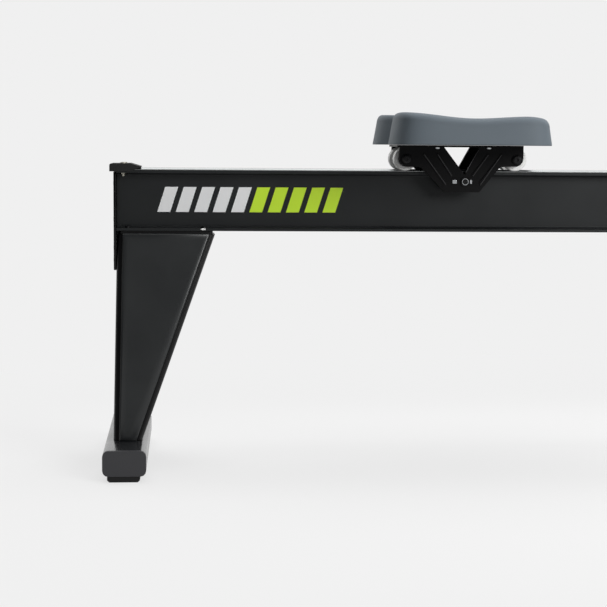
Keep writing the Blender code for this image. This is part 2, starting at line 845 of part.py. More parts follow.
def seat_surface(x, y):
    """Height of the seat's top at a point, without its rounded edge."""
    u = (x - SEAT_REAR) / SEAT_LENGTH
    base = SEAT_TOP - SEAT_SLOPE * (x - SEAT_REAR)
    dip = DIP_DEPTH * math.exp(-(((u - DIP_AT) / DIP_REACH) ** 2))
    wells = WELL_DEPTH * math.exp(-(((abs(y) - WELL_Y) / WELL_HALF) ** 2) - ((u - WELL_AT) / WELL_REACH) ** 2)
    channel = CHANNEL_DEPTH * math.exp(-((y / CHANNEL_HALF) ** 2) - ((u - CHANNEL_AT) / CHANNEL_REACH) ** 2)
    share = max(0.0, (u - DROOP_AT) / (1.0 - DROOP_AT))
    return base - dip - wells - channel - DROOP * share**2


def seat_outline():
    """Plan of the seat: a squarish oval with a tail-bone notch at the rear."""
    centre = (SEAT_REAR + SEAT_FRONT) / 2
    reach = (SEAT_FRONT - SEAT_REAR) / 2
    points = []
    for i in range(SEAT_STEPS):
        even = math.tau * (i + 0.5) / SEAT_STEPS
        turn = even + SEAT_CROWD * math.sin(4 * even) / 4
        c, s = math.cos(turn), math.sin(turn)
        swell = (abs(c) ** SEAT_POWER + abs(s) ** SEAT_POWER) ** (-1 / SEAT_POWER)
        x = centre + swell * c * reach
        y = swell * s * SEAT_HALF
        if c < 0:
            x += NOTCH_DEPTH * math.exp(-((y / NOTCH_HALF) ** 2))
        points.append((x, y))
    return points


def seat_inward(centre, point, inset):
    """Point of the plan, moved towards the middle of the seat."""
    spoke = point - centre
    return centre + spoke * (1 - inset / spoke.length)


def seat_lean(x, z):
    """Place along the rail of a point of the seat, whose rear leans forward towards the top."""
    rear = max(0.0, 1.0 - 2 * (x - SEAT_REAR) / SEAT_LENGTH)
    return x + SEAT_LEAN * rear**3 * (z - SEAT_BOTTOM) / (SEAT_TOP - SEAT_BOTTOM)


def seat_pad(root):
    """Moulded seat: drafted sides, a rounded rim and a dished top."""
    centre = Vector(((SEAT_REAR + SEAT_FRONT) / 2, 0.0))
    rim = [(0.0, None), (SEAT_DRAFT, SEAT_EDGE)]
    for i in range(1, 5):
        turn = math.radians(90 * i / 4)
        rim.append((SEAT_DRAFT + SEAT_EDGE * (1 - math.cos(turn)), SEAT_EDGE * (1 - math.sin(turn))))
    inner = rim[-1][0]
    bm = bmesh.new()
    rings = []
    outline = [Vector(point) for point in seat_outline()]
    plans = [(drop, [seat_inward(centre, point, inset) for point in outline]) for inset, drop in rim]
    for share in SEAT_RINGS:
        plan = []
        for point in outline:
            rest = (point - centre).length - inner
            plan.append(seat_inward(centre, point, inner + share * rest))
        plans.append((0.0, plan))
    for drop, plan in plans:
        ring = []
        for x, y in plan:
            z = SEAT_BOTTOM if drop is None else seat_surface(x, y) - drop
            ring.append(bm.verts.new((seat_lean(x, z), y, z)))
        rings.append(ring)
    for one, two in zip(rings, rings[1:]):
        for i in range(len(one)):
            bm.faces.new((one[i - 1], one[i], two[i], two[i - 1]))
    bm.faces.new(rings[0])
    top = bm.verts.new((centre.x, 0.0, seat_surface(centre.x, 0.0)))
    for i in range(len(rings[-1])):
        bm.faces.new((rings[-1][i - 1], rings[-1][i], top))
    finish(new_object("seat_pad", bm), SEAT_GREY, root)


def on_carriage(share):
    """Place along the rail of a share of the carriage's length."""
    return CARRIAGE_REAR + share * (CARRIAGE_FRONT - CARRIAGE_REAR)


def cheek_outline():
    """Side outline of the carriage cheeks."""
    deck = CARRIAGE_TOP - CARRIAGE_DECK / 2
    rear, front = CARRIAGE_REAR + CHEEK_SET_BACK, CARRIAGE_FRONT
    return rounded([
        (rear, deck, 0),
        (rear, ARM_UNDER_Z, ARM_CORNER),
        (on_carriage(WAIST_REAR), ARM_UNDER_Z - GAP, WAIST_CORNER),
        (on_carriage(FOOT_REAR), CHEEK_BOTTOM, WELD),
        (on_carriage(FOOT_FRONT), CHEEK_BOTTOM, WELD),
        (on_carriage(WAIST_FRONT), ARM_UNDER_Z, WAIST_CORNER),
        (front, ARM_UNDER_Z + WELD, ARM_CORNER),
        (front, deck, 0),
    ])


def carriage_ribs(side):
    """Raised ribs on the outside of a cheek, two on each arm of the V."""
    ribs = []
    for pair in (REAR_RIBS, FRONT_RIBS):
        for (high, low), low_z in zip(pair, (RIB_BOTTOM_Z, RIB_SHORT_Z)):
            start, end = Vector((on_carriage(high), RIB_TOP_Z)), Vector((on_carriage(low), low_z))
            along = (end - start).normalized()
            across = Vector((-along.y, along.x)) * RIB_HALF
            outline = [start + across, end + across, end - across, start - across]
            ys = (side * (CHEEK_OUTER - RIB_PROUD), side * (CHEEK_OUTER + RIB_PROUD))
            ribs.append(prism("rib", outline, *ys))
    return ribs


def guide_pin(side):
    """Collar, pin and bolt head of a lower roller, from a cheek towards the web."""
    collar = GUIDE_OUTER + GAP
    head = CHEEK_OUTER + BOLT_HEAD_HEIGHT / 2
    profile = [
        (0, side * (GUIDE_INNER - WELD)),
        (AXLE_RADIUS, side * (GUIDE_INNER - WELD)),
        (AXLE_RADIUS, side * collar),
        (BOLT_HEAD, side * collar),
        (BOLT_HEAD, side * head),
        (0, side * head),
    ]
    return moved(lathe("pin", profile, PIN_STEPS), GUIDE_X, 0.0, GUIDE_Z)


def seat_carriage(root):
    """Cast carriage: a deck under the seat and two V-shaped cheeks beside the rail."""
    deck = box(
        "seat_carriage",
        (CARRIAGE_REAR, CARRIAGE_FRONT),
        (-CHEEK_OUTER, CHEEK_OUTER),
        (CARRIAGE_TOP - CARRIAGE_DECK, CARRIAGE_TOP),
    )
    vee_top = CARRIAGE_TOP - CARRIAGE_DECK
    vee = [(on_carriage(share), vee_top) for share in (VEE_REAR, VEE_FRONT)]
    vee.append((on_carriage(VEE_POINT), VEE_Z))
    for side in (1, -1):
        cheek = prism("cheek", cheek_outline(), side * CHEEK_INNER, side * CHEEK_OUTER)
        reach = (side * (CHEEK_INNER - OVERCUT), side * (CHEEK_OUTER + OVERCUT))
        cut(cheek, prism("window", vee, *reach))
        for x in (REAR_AXLE_X, FRONT_AXLE_X):
            hole = rod("hole", AXLE_RADIUS + RUNNING, *reach, PIN_STEPS)
            cut(cheek, moved(hole, x, 0.0, ROLLER_Z))
        for span in (TAB_REAR, TAB_FRONT):
            ys = sorted((side * (CHEEK_OUTER - WELD), side * (CHEEK_OUTER + TAB_PROUD)))
            xs = [on_carriage(share) for share in span]
            union(cheek, box("tab", xs, ys, (GUIDE_Z - TAB_HALF, GUIDE_Z + TAB_HALF)))
        union(cheek, *carriage_ribs(side), guide_pin(side))
        union(deck, cheek)
    finish(deck, BLACK_PLASTIC, root)


def seat_axle(name, root, x):
    """Through bolt of a pair of rollers, with a head and a nut outside the cheeks."""
    inner = CHEEK_OUTER + GAP
    outer = inner + BOLT_HEAD_HEIGHT
    profile = [
        (0, -outer),
        (BOLT_HEAD, -outer),
        (BOLT_HEAD, -inner),
        (AXLE_RADIUS, -inner),
        (AXLE_RADIUS, inner),
        (BOLT_HEAD, inner),
        (BOLT_HEAD, outer),
        (0, outer),
    ]
    finish(lathe(name, profile, PIN_STEPS), STEEL, root, (x, 0.0, ROLLER_Z))


def roller(name, root, radius, ys, at, hub):
    """Plastic roller with a bore, a rounded tread and a stepped face."""
    low, high = ys
    bore = AXLE_RADIUS + RUNNING
    profile = [
        (bore, low),
        (hub, low),
        (ROLLER_FACE, low + ROLLER_STEP),
        (radius - ROLLER_ROUND, low),
        (radius, low + ROLLER_ROUND),
        (radius, high - ROLLER_ROUND),
        (radius - ROLLER_ROUND, high),
        (ROLLER_FACE, high - ROLLER_STEP),
        (hub, high),
        (bore, high),
    ]
    finish(lathe(name, profile, ring=True), ROLLER_WHITE, root, at)


def guide_roller(name, root, side):
    """Small lower roller that keeps the seat down on the rail."""
    low, high = sorted((side * GUIDE_INNER, side * GUIDE_OUTER))
    bore = AXLE_RADIUS + RUNNING
    profile = [
        (bore, low),
        (GUIDE_RADIUS - EDGE, low),
        (GUIDE_RADIUS, low + EDGE),
        (GUIDE_RADIUS, high - EDGE),
        (GUIDE_RADIUS - EDGE, high),
        (bore, high),
    ]
    finish(lathe(name, profile, ring=True), ROLLER_WHITE, root, (GUIDE_X, 0.0, GUIDE_Z))


def seat_assembly(root):
    """Seat, carriage, roller axles and rollers."""
    seat_pad(root)
    seat_carriage(root)
    for x, word in ((REAR_AXLE_X, "rear"), (FRONT_AXLE_X, "front")):
        seat_axle("seat_axle_" + word, root, x)
        for side, hand in ((1, "left"), (-1, "right")):
            ys = sorted((side * ROLLER_INNER, side * ROLLER_OUTER))
            roller("seat_roller_" + word + "_" + hand, root, ROLLER_RADIUS, ys, (x, 0.0, ROLLER_Z), BOLT_HEAD)
    for side, hand in ((1, "left"), (-1, "right")):
        guide_roller("guide_roller_" + hand, root, side)


def rail_tongue(root):
    """Flat tongue under the rail's front end, which seats in the saddle."""
    top = RAIL_BOTTOM - GAP
    outline = rounded_rectangle((TONGUE_REAR, TONGUE_FRONT), (-TONGUE_HALF, TONGUE_HALF), TONGUE_CORNER)
    finish(prism("rail_tongue", outline, top - TONGUE_THICK, top, "Z"), BLACK_PAINT, root)


def rail_saddle(root):
    """Channel under the front beam that holds the tongue and the lock lever's pin."""
    top = RAIL_BOTTOM - GAP
    inner = TONGUE_HALF + RUNNING
    outer = inner + SADDLE_WALL
    floor = top - TONGUE_THICK - RUNNING
    body = box("rail_saddle", (SADDLE_REAR, SADDLE_FRONT), (-outer, outer), (SADDLE_BOTTOM, top))
    ends = (SADDLE_REAR - OVERCUT, SADDLE_FRONT + OVERCUT)
    cut(body, box("slot", ends, (-inner, inner), (floor, top + OVERCUT)))
    reach = LOCK_CAM + GAP * 3
    half = LOCK_HALF + RUNNING
    xs = (LOCK_X - reach, LOCK_X + reach)
    cut(body, box("well", xs, (-half, half), (SADDLE_BOTTOM - OVERCUT, floor + EDGE)))
    hole = rod("hole", AXLE_RADIUS + RUNNING, -outer * 2, outer * 2, PIN_STEPS)
    cut(body, moved(hole, LOCK_X, 0.0, LOCK_Z))
    finish(body, BLACK_PAINT, root)


def lock_lever(root):
    """Cam lever under the joint: a hub with its pin and a long grip that swings down."""
    bottom = -LOCK_CAM
    grip = rounded([
        (0.0, bottom + LOCK_THICK, 0),
        (-LOCK_KNEE, bottom + LOCK_THICK, LOCK_BEND),
        (-LOCK_LENGTH, bottom - LOCK_THICK, LOCK_TIP),
        (-LOCK_LENGTH, bottom - 2 * LOCK_THICK, LOCK_TIP),
        (-LOCK_KNEE, bottom, LOCK_BEND),
        (0.0, bottom, 0),
    ])
    hub = rod("lock_lever", LOCK_CAM, -LOCK_HALF, LOCK_HALF)
    pin_half = TONGUE_HALF + SADDLE_WALL + PIN_PROUD
    pin = rod("pin", AXLE_RADIUS, -pin_half, pin_half, PIN_STEPS)
    union(hub, prism("grip", grip, -LOCK_HALF, LOCK_HALF), pin)
    finish(hub, GREY_PLASTIC, root, (LOCK_X, 0.0, LOCK_Z))


def front_beam(root):
    """Box beam in line with the rail, closed in front by a welded plate."""
    section = rounded_rectangle((-RAIL_HALF, RAIL_HALF), (RAIL_BOTTOM, RAIL_TOP), BEAM_CORNER)
    beam = prism("front_beam", section, BEAM_START, BEAM_END, "X")
    inner = RAIL_HALF - BEAM_WALL
    zs = (RAIL_BOTTOM + BEAM_WALL, RAIL_TOP - BEAM_WALL)
    cut(beam, box("bore", (BEAM_START - OVERCUT, BEAM_END - BEAM_WALL), (-inner, inner), zs))
    zs = (PLATE_BOTTOM, RAIL_TOP + PLATE_PROUD)
    plate = rounded_rectangle((-RAIL_HALF, RAIL_HALF), zs, PLATE_THICK)
    union(beam, prism("plate", plate, FRONT_PLANE - PLATE_THICK, FRONT_PLANE, "X"))
    finish(beam, DARK_ALUMINIUM, root)


def fin_top():
    """Path of the fin's nose top, crest and front edge, as corners."""
    return [
        (NOSE_X - HOOD_REACH, CHAIN_Z + HOOD_LIP, HOOD_ROUND),
        (NOSE_X, CHAIN_Z + HOOD_TOP, HOOD_ROUND),
        (AXLE_X - CREST_BACK, AXLE_Z + CREST_RISE, CREST_ROUND),
        (AXLE_X + BROW_REACH, AXLE_Z + BROW_RISE, BROW_ROUND),
        (AXLE_X + CHIN_REACH, RAIL_TOP + CHIN_SHARE * (AXLE_Z - RAIL_TOP), CHIN_ROUND),
        (AXLE_X + FIN_TOE, RAIL_TOP + GAP, 0.0),
    ]


def fin_back():
    """Path of the fin's rear edge, from the beam up to the nose's lower lip."""
    return [
        (NOSE_X + FIN_HEEL, RAIL_TOP + GAP, 0.0),
        (NOSE_X + FIN_HEEL, RAIL_TOP + GAP + WAIST_ROUND / 10, 0.0),
        (NOSE_X + WAIST_REACH, RAIL_TOP + WAIST_SHARE * (CHAIN_Z - RAIL_TOP), WAIST_ROUND),
        (NOSE_X - HOOD_REACH, CHAIN_Z - HOOD_UNDER, FIN_CORNER),
    ]


def crest_at(x):
    """Height of the fin's straight crest between the nose and the axle."""
    start, end = (Vector(corner[:2]) for corner in fin_top()[1:3])
    return start.y + (end.y - start.y) * (x - start.x) / (end.x - start.x)


def fin_outline():
    """Whole side outline of the fin, with the lug that carries the monitor arm."""
    lug = [
        (LUG_X - LUG_FOOT, crest_at(LUG_X - LUG_FOOT), HOOD_ROUND),
        (LUG_X - LUG_HALF, LUG_Z + LUG_RISE, LUG_ROUND),
        (LUG_X + LUG_HALF, LUG_Z + LUG_RISE, LUG_ROUND),
        (LUG_X + LUG_FOOT, crest_at(LUG_X + LUG_FOOT), HOOD_ROUND),
    ]
    foot = [(AXLE_X + FIN_TOE, FIN_BOTTOM, FIN_CORNER), (NOSE_X + FIN_HEEL, FIN_BOTTOM, FIN_CORNER)]
    top = fin_top()
    return rounded(top[:2] + lug + top[2:5] + foot + fin_back()[2:])


def frame_plate(name, root, side):
    """Side plate of the fin; the left one carries the folded rear edge and the bearing."""
    plate = prism(name, fin_outline(), side * FIN_INNER, side * FIN_OUTER)
    reach = (side * (FIN_INNER - OVERCUT), side * (FIN_OUTER + OVERCUT))
    bore = BEARING_RADIUS + GAP if side > 0 else SHAFT_RADIUS + SHAFT_CLEAR
    holes = (
        (bore, AXLE_X, AXLE_Z, ROUND_STEPS),
        (NOSE_PIN + RUNNING, NOSE_X, NOSE_ROLLER_Z, PIN_STEPS),
        (AXLE_RADIUS + RUNNING, LUG_X, LUG_Z, PIN_STEPS),
    )
    for radius, x, z, steps in holes:
        cut(plate, moved(rod("hole", radius, *reach, steps), x, 0.0, z))
    if side > 0:
        path = rounded(fin_back(), closed=False)
        fold = prism("fold", ribbon(path, COVER_SHEET), -RAIL_HALF, FIN_OUTER - GAP)
        union(plate, fold)
    finish(plate, GREY_PLASTIC, root)


def chain_cover(root):
    """Sheet between the side plates, over the fin's crest and down its front."""
    path = rounded(fin_top(), 5, closed=False)
    finish(prism("chain_cover", ribbon(path, COVER_SHEET), -RAIL_HALF, RAIL_HALF), GREY_PLASTIC, root)


def nose_roller(root):
    """Flanged roller that the chain leaves the fin over, with its pin."""
    half = CHAIN_HALF + 4 * GAP
    flange = half + NOSE_FLANGE_WIDTH
    pin = FIN_OUTER + GAP
    right = [
        (NOSE_ROLLER, half),
        (NOSE_FLANGE, half + GAP),
        (NOSE_FLANGE, flange),
        (NOSE_PIN, flange),
        (NOSE_PIN, pin),
        (0, pin),
    ]
    profile = [(r, -y) for r, y in reversed(right)] + right
    finish(lathe("nose_roller", profile), BLACK_PLASTIC, root, (NOSE_X, 0.0, NOSE_ROLLER_Z))


def sprocket(root):
    """Toothed wheel of the chain, with a hub bored for the axle."""
    outline = []
    root_radius = PITCH_RADIUS - TOOTH_DEPTH
    rise = ((-TOOTH_FOOT, root_radius), (-TOOTH_TIP, TOOTH_RADIUS))
    tooth = rise + tuple((-shift, radius) for shift, radius in reversed(rise))
    for i in range(TEETH):
        for shift, radius in tooth:
            turn = math.tau * (i + 0.5 + shift) / TEETH
            outline.append((radius * math.cos(turn), radius * math.sin(turn)))
    wheel = prism("sprocket", outline, -SPROCKET_THICK / 2, SPROCKET_THICK / 2)
    union(wheel, rod("hub", SPROCKET_HUB, -SPROCKET_HUB_HALF, SPROCKET_HUB_HALF))
    cut(wheel, rod("bore", SHAFT_RADIUS + RUNNING, -2 * SPROCKET_HUB_HALF, 2 * SPROCKET_HUB_HALF))
    finish(wheel, STEEL, root, (AXLE_X, 0.0, AXLE_Z))


def chain_path(distance):
    """Point and direction of the chain at a distance from the handle's swivel."""
    way = CHAIN_NOSE - CHAIN_START
    if distance < way.length:
        return CHAIN_START + way.normalized() * distance, way.normalized()
    distance -= way.length
    way = (CHAIN_END - CHAIN_NOSE).normalized()
    return CHAIN_NOSE + way * distance, way


def chain_run(root):
    """Drive chain from the handle to the sprocket, its links as lobes of the outline."""
    whole = (CHAIN_NOSE - CHAIN_START).length + (CHAIN_END - CHAIN_NOSE).length
    clear = math.sqrt(TOOTH_RADIUS**2 - (PITCH_RADIUS - CHAIN_LOBE) ** 2) + SPROCKET_CLEAR
    links = int((whole - clear) / CHAIN_PITCH)
    over, under = [], []
    for i in range(links * 2 + 1):
        spot, way = chain_path(i * CHAIN_PITCH / 2)
        half = CHAIN_WAIST if i % 2 else CHAIN_LOBE
        up = Vector((-way.y, way.x)) * half
        over.append(spot + up)
        under.append(spot - up)
    chain = prism("chain_run", over + under[::-1], -CHAIN_HALF, CHAIN_HALF)
    finish(chain, STEEL, root)


def bearing(root):
    """Ball bearing of the axle in the left plate: two races with a recessed seal."""
    low, high = FIN_INNER, FIN_INNER + BEARING_WIDTH
    bore, outer = SHAFT_RADIUS + RUNNING, BEARING_RADIUS
    seal_in, seal_out = bore + BEARING_RACE, outer - BEARING_RACE
    profile = [
        (bore, low),
        (outer, low),
        (outer, high),
        (seal_out, high),
        (seal_out, high - SEAL_SUNK),
        (seal_in, high - SEAL_SUNK),
        (seal_in, high),
        (bore, high),
    ]
    finish(lathe("axle_bearing", profile, ring=True), STEEL, root, (AXLE_X, 0.0, AXLE_Z))


def flywheel_axle(root):
    """Steel shaft from the left bearing to the boss of the outer housing."""
    left = FIN_INNER + BEARING_WIDTH + SHAFT_PROUD
    right = OUTER_NEAR - BOSS_HEIGHT
    profile = [
        (0, right),
        (SHAFT_RADIUS - EDGE, right),
        (SHAFT_RADIUS, right + EDGE),
        (SHAFT_RADIUS, left - EDGE),
        (SHAFT_RADIUS - EDGE, left),
        (0, left),
    ]
    finish(lathe("flywheel_axle", profile), STEEL, root, (AXLE_X, 0.0, AXLE_Z))


def fan_blades(near, far):
    """Curved radial blades as one mesh of separate strips."""
    bm = bmesh.new()
    stations = 3
    for k in range(FAN_BLADES):
        turn = math.tau * k / FAN_BLADES
        sides = []
        for way in (-1, 1):
            side = []
            for j in range(stations):
                share = j / (stations - 1)
                radius = BLADE_ROOT + (FAN_RADIUS - BLADE_INSET - BLADE_ROOT) * share
                across = way * BLADE_THICK / 2 - BLADE_SWEEP * share**2
                side.append((
                    radius * math.cos(turn) - across * math.sin(turn),
                    radius * math.sin(turn) + across * math.cos(turn),
                ))
            sides.append(side)
        outline = sides[0] + sides[1][::-1]
        ends = [[bm.verts.new((x, y, z)) for x, z in outline] for y in (near, far)]
        bm.faces.new(ends[0])
        bm.faces.new(ends[1])
        for i in range(len(outline)):
            bm.faces.new((ends[0][i - 1], ends[0][i], ends[1][i], ends[1][i - 1]))
    return new_object("blades", bm)


def flywheel(root):
    """Fan wheel: hub and disc, blades, and the ring that ties their far edges."""
    near = SCREEN_NEAR - FAN_SIDE_GAP
    far = SCREEN_FAR + FAN_SIDE_GAP / 2
    bore = SHAFT_RADIUS + RUNNING
    profile = [
        (bore, near + HUB_NEAR),
        (FAN_HUB, near + HUB_NEAR),
        (FAN_HUB, near),
        (FAN_RADIUS, near),
        (FAN_RADIUS, near - FAN_DISC),
        (HUB_CONE, near - FAN_DISC),
        (FAN_HUB, near - HUB_STEP),
        (FAN_HUB, near - HUB_FAR),
        (bore, near - HUB_FAR),
    ]
    wheel = lathe("flywheel", profile, DISC_STEPS, ring=True)
    ring = washer("ring", FAN_RADIUS, FAN_RADIUS - FAN_RING, far, far + FAN_DISC, DISC_STEPS)
    overlap = FAN_DISC / 2
    union(wheel, fan_blades(near - overlap, far + overlap), ring)
    finish(wheel, STEEL, root, (AXLE_X, 0.0, AXLE_Z))


def perforated_band():
    """Band of the housing with two rows of air slots, as one closed mesh."""
    centre = (SCREEN_NEAR + SCREEN_FAR) / 2
    levels = [
        SCREEN_NEAR,
        SCREEN_NEAR - SCREEN_RIM,
        centre + SCREEN_MIDDLE / 2,
        centre - SCREEN_MIDDLE / 2,
        SCREEN_FAR + SCREEN_RIM,
        SCREEN_FAR,
    ]
    slot_rows = (1, 3)
    bars = [(k, k + 1.0 - SLOT_SHARE) for k in range(SCREEN_SLOTS)]
    turns = [math.tau * edge / SCREEN_SLOTS for bar in bars for edge in bar]
    count = len(turns)
    bm = bmesh.new()
    grids = []
    for radius in (HOUSING_RADIUS, HOUSING_RADIUS - SCREEN_WALL):
        grids.append([
            [bm.verts.new((radius * math.cos(t), y, radius * math.sin(t))) for y in levels] for t in turns
        ])
    outer, inner = grids
    for i in range(count):
        n = (i + 1) % count
        for j in range(len(levels) - 1):
            corners = ((i, j), (n, j), (n, j + 1), (i, j + 1))
            if i % 2 == 0 or j not in slot_rows:
                bm.faces.new([outer[a][b] for a, b in corners])
                bm.faces.new([inner[a][b] for a, b in corners])
                continue
            for (a, b), (c, d) in zip(corners, corners[1:] + corners[:1]):
                bm.faces.new((outer[a][b], outer[c][d], inner[c][d], inner[a][b]))
        for j in (0, len(levels) - 1):
            bm.faces.new((outer[i][j], outer[n][j], inner[n][j], inner[i][j]))
    return new_object("housing_screen", bm)


def sector(inner, outer, start, sweep, near, far):
    """Ring sector for an air window, angles in degrees."""
    outline = arc((0, 0), outer, start, start + sweep, 4) + arc((0, 0), inner, start + sweep, start, 3)
    return prism("sector", outline, near, far)


def air_windows(body, near, far):
    """Cut the ring of air inlets that the outer housing and the damper share."""
    for k in range(WINDOWS):
        start = 90 + 360 * k / WINDOWS - WINDOW_ANGLE / 2
        cut(body, sector(WINDOW_INNER, WINDOW_OUTER, start, WINDOW_ANGLE, near, far))
    return body


def housing(root):
    """Inner disc on the frame plate, slotted screen round the fan, and outer disc with boss."""
    at = (AXLE_X, 0.0, AXLE_Z)
    ys = (HOUSING_NEAR, HOUSING_NEAR - HOUSING_SHEET)
    finish(washer("housing_inner", HOUSING_RADIUS, BOSS_RADIUS, *ys, DISC_STEPS), BLACK_PAINT, root, at)
    finish(perforated_band(), BLACK_PAINT, root, at)
    profile = [
        (HOUSING_RADIUS, OUTER_NEAR),
        (HOUSING_RADIUS - EDGE, OUTER_FAR),
        (BOSS_RADIUS, OUTER_FAR),
        (BOSS_RADIUS, OUTER_NEAR - BOSS_HEIGHT + EDGE),
        (BOSS_RADIUS - EDGE, OUTER_NEAR - BOSS_HEIGHT),
        (SHAFT_RADIUS + RUNNING, OUTER_NEAR - BOSS_HEIGHT),
        (SHAFT_RADIUS + RUNNING, OUTER_NEAR),
    ]
    outer = lathe("housing_outer", profile, DISC_STEPS, ring=True)
    air_windows(outer, OUTER_NEAR + OVERCUT, OUTER_FAR - OVERCUT)
    finish(outer, BLACK_PLASTIC, root, at)


def damper_ring(root):
    """Shutter disc with the same windows and the lever that turns it."""
    near = OUTER_FAR - GAP
    far = near - DAMPER_SHEET
    disc = washer("damper_ring", DAMPER_RADIUS, BOSS_RADIUS + RUNNING, near, far, DISC_STEPS)
    air_windows(disc, near + OVERCUT, far - OVERCUT)
    lever = rounded([
        (-LEVER_ROOT_HALF, DAMPER_RADIUS - LEVER_ROOT, 0),
        (LEVER_ROOT_HALF, DAMPER_RADIUS - LEVER_ROOT, 0),
        (LEVER_TIP_HALF, LEVER_RADIUS, LEVER_CORNER),
        (-LEVER_TIP_HALF, LEVER_RADIUS, LEVER_CORNER),
    ])
    lean = math.radians(DAMPER_LEAN)
    turned = [
        (x * math.cos(lean) - z * math.sin(lean), x * math.sin(lean) + z * math.cos(lean)) for x, z in lever
    ]
    union(disc, prism("lever", turned, near - GAP, far - DAMPER_SHEET))
    finish(disc, GREY_PLASTIC, root, (AXLE_X, 0.0, AXLE_Z))


def footboard(name, root, side):
    """Footboard with ribs across the tread and two slots for the strap."""
    outline = rounded_rectangle((0.0, BOARD_LENGTH), (-BOARD_HALF, BOARD_HALF), BOARD_CORNER)
    board = prism(name, outline, -BOARD_THICK, 0.0, "Z")
    middle = STRAP_AT + STRAP_WIDTH / 2
    for way in (-1, 1):
        length = STRAP_WIDTH / 2 + GAP * 3
        half = STRAP_THICK / 2 + GAP
        ys = (way * STRAP_HALF - half, way * STRAP_HALF + half)
        cut(board, box("slot", (middle - length, middle + length), ys, (-2 * BOARD_THICK, BOARD_THICK)))
    for k in range(GROOVES):
        x = STRAP_AT + STRAP_WIDTH + GROOVE_START + GROOVE_PITCH * k
        cut(board, box("groove", (x, x + GROOVE_WIDTH), (-GROOVE_HALF, GROOVE_HALF), (-WELD, OVERCUT)))
    finish(board, BLACK_PLASTIC, root, (HEEL_X, side * FOOT_Y, HEEL_Z), -FOOT_PITCH)


def heel_cup(name, root, side):
    """Sliding heel cup: a flat sole with a curved wall round the heel."""
    end = CUP_START + CUP_LENGTH
    body = rounded([
        (CUP_START, -CUP_HALF, CUP_CURVE),
        (end, -CUP_HALF, CUP_CORNER),
        (end, CUP_HALF, CUP_CORNER),
        (CUP_START, CUP_HALF, CUP_CURVE),
    ], 6)
    start, half, curve = CUP_START + CUP_WALL, CUP_HALF - CUP_WALL, CUP_CURVE - CUP_WALL
    hollow = rounded([
        (start, -half, curve),
        (end + OVERCUT, -half, 0),
        (end + OVERCUT, half, 0),
        (start, half, curve),
    ], 6)
    slope = [
        (CUP_SLOPE_START, CUP_HEIGHT + CUP_WALL),
        (end + OVERCUT, CUP_HEIGHT + CUP_WALL),
        (end + OVERCUT, CUP_LIP),
        (CUP_SLOPE_END, CUP_LIP),
    ]
    cup = prism(name, body, GAP, CUP_HEIGHT, "Z")
    cut(cup, prism("hollow", hollow, GAP + CUP_WALL, CUP_HEIGHT + OVERCUT, "Z"))
    cut(cup, prism("slope", slope, -2 * CUP_HALF, 2 * CUP_HALF))
    finish(cup, GREY_PLASTIC, root, (HEEL_X, side * FOOT_Y, HEEL_Z), -FOOT_PITCH)


def strap_path(half, top):
    """One side of a strap's section: up from below the board, over the arch, and down again."""
    turns = [math.pi * i / ARCH_STEPS for i in range(ARCH_STEPS + 1)]
    rise = top - STRAP_STRAIGHT
    arch = [(half * math.cos(t), STRAP_STRAIGHT + rise * math.sin(t)) for t in turns]
    low = -BOARD_THICK - STRAP_BELOW
    return [(half, low)] + arch + [(-half, low)]


def foot_strap(name, root, side):
    """Webbing strap that rises from the board's slots and arches over the foot."""
    outer = strap_path(STRAP_HALF + STRAP_THICK / 2, STRAP_RISE)
    inner = strap_path(STRAP_HALF - STRAP_THICK / 2, STRAP_RISE - STRAP_THICK)
    strap = prism(name, outer + inner[::-1], STRAP_AT, STRAP_AT + STRAP_WIDTH, "X")
    finish(strap, WEBBING, root, (HEEL_X, side * FOOT_Y, HEEL_Z), -FOOT_PITCH)


def on_board(along, above):
    """Position of a point given along and above a footboard, as (x, z)."""
    turn = math.radians(FOOT_PITCH)
    x = HEEL_X + along * math.cos(turn) - above * math.sin(turn)
    return x, HEEL_Z + along * math.sin(turn) + above * math.cos(turn)


def footboard_bracket(root):
    """Cross tube on the beam with a gusset and a cradle plate under each board."""
    low = RAIL_TOP + GAP
    half = CROSS_TUBE / 2
    xs = (CROSS_TUBE_X - half, CROSS_TUBE_X + half)
    tube = box("footboard_bracket", xs, (-CROSS_HALF, CROSS_HALF), (low, low + CROSS_TUBE))
    top, under = -BOARD_THICK - GAP, -BOARD_THICK - GAP - CRADLE_SHEET
    middle = under + CRADLE_SHEET / 2
    upper = [on_board(CRADLE_NEAR + GUSSET_INSET, middle), on_board(CRADLE_FAR - GUSSET_INSET, middle)]
    gusset = upper + [(xs[1], low + WELD), (xs[0], low + WELD)]
    cradle = [on_board(CRADLE_NEAR, under), on_board(CRADLE_FAR, under)]
    cradle += [on_board(CRADLE_FAR, top), on_board(CRADLE_NEAR, top)]
    for side in (1, -1):
        centre = side * FOOT_Y
        union(tube, prism("gusset", gusset, centre - GUSSET_HALF, centre + GUSSET_HALF))
        union(tube, prism("cradle", cradle, centre - CRADLE_HALF, centre + CRADLE_HALF))
    finish(tube, BLACK_PAINT, root)


def footrest(root):
    """Bracket, boards, heel cups and straps."""
    footboard_bracket(root)
    for side, word in ((1, "left"), (-1, "right")):
        footboard("footboard_" + word, root, side)
        heel_cup("heel_cup_" + word, root, side)
        foot_strap("foot_strap_" + word, root, side)


def slanted(obj, side):
    """Turn a part made along Y to the handle's angle on one side."""
    turn = math.radians(HANDLE_ANGLE) * side
    for vertex in obj.data.vertices:
        x, y, z = vertex.co
        vertex.co = (x * math.cos(turn) - y * math.sin(turn), x * math.sin(turn) + y * math.cos(turn), z)
    return obj


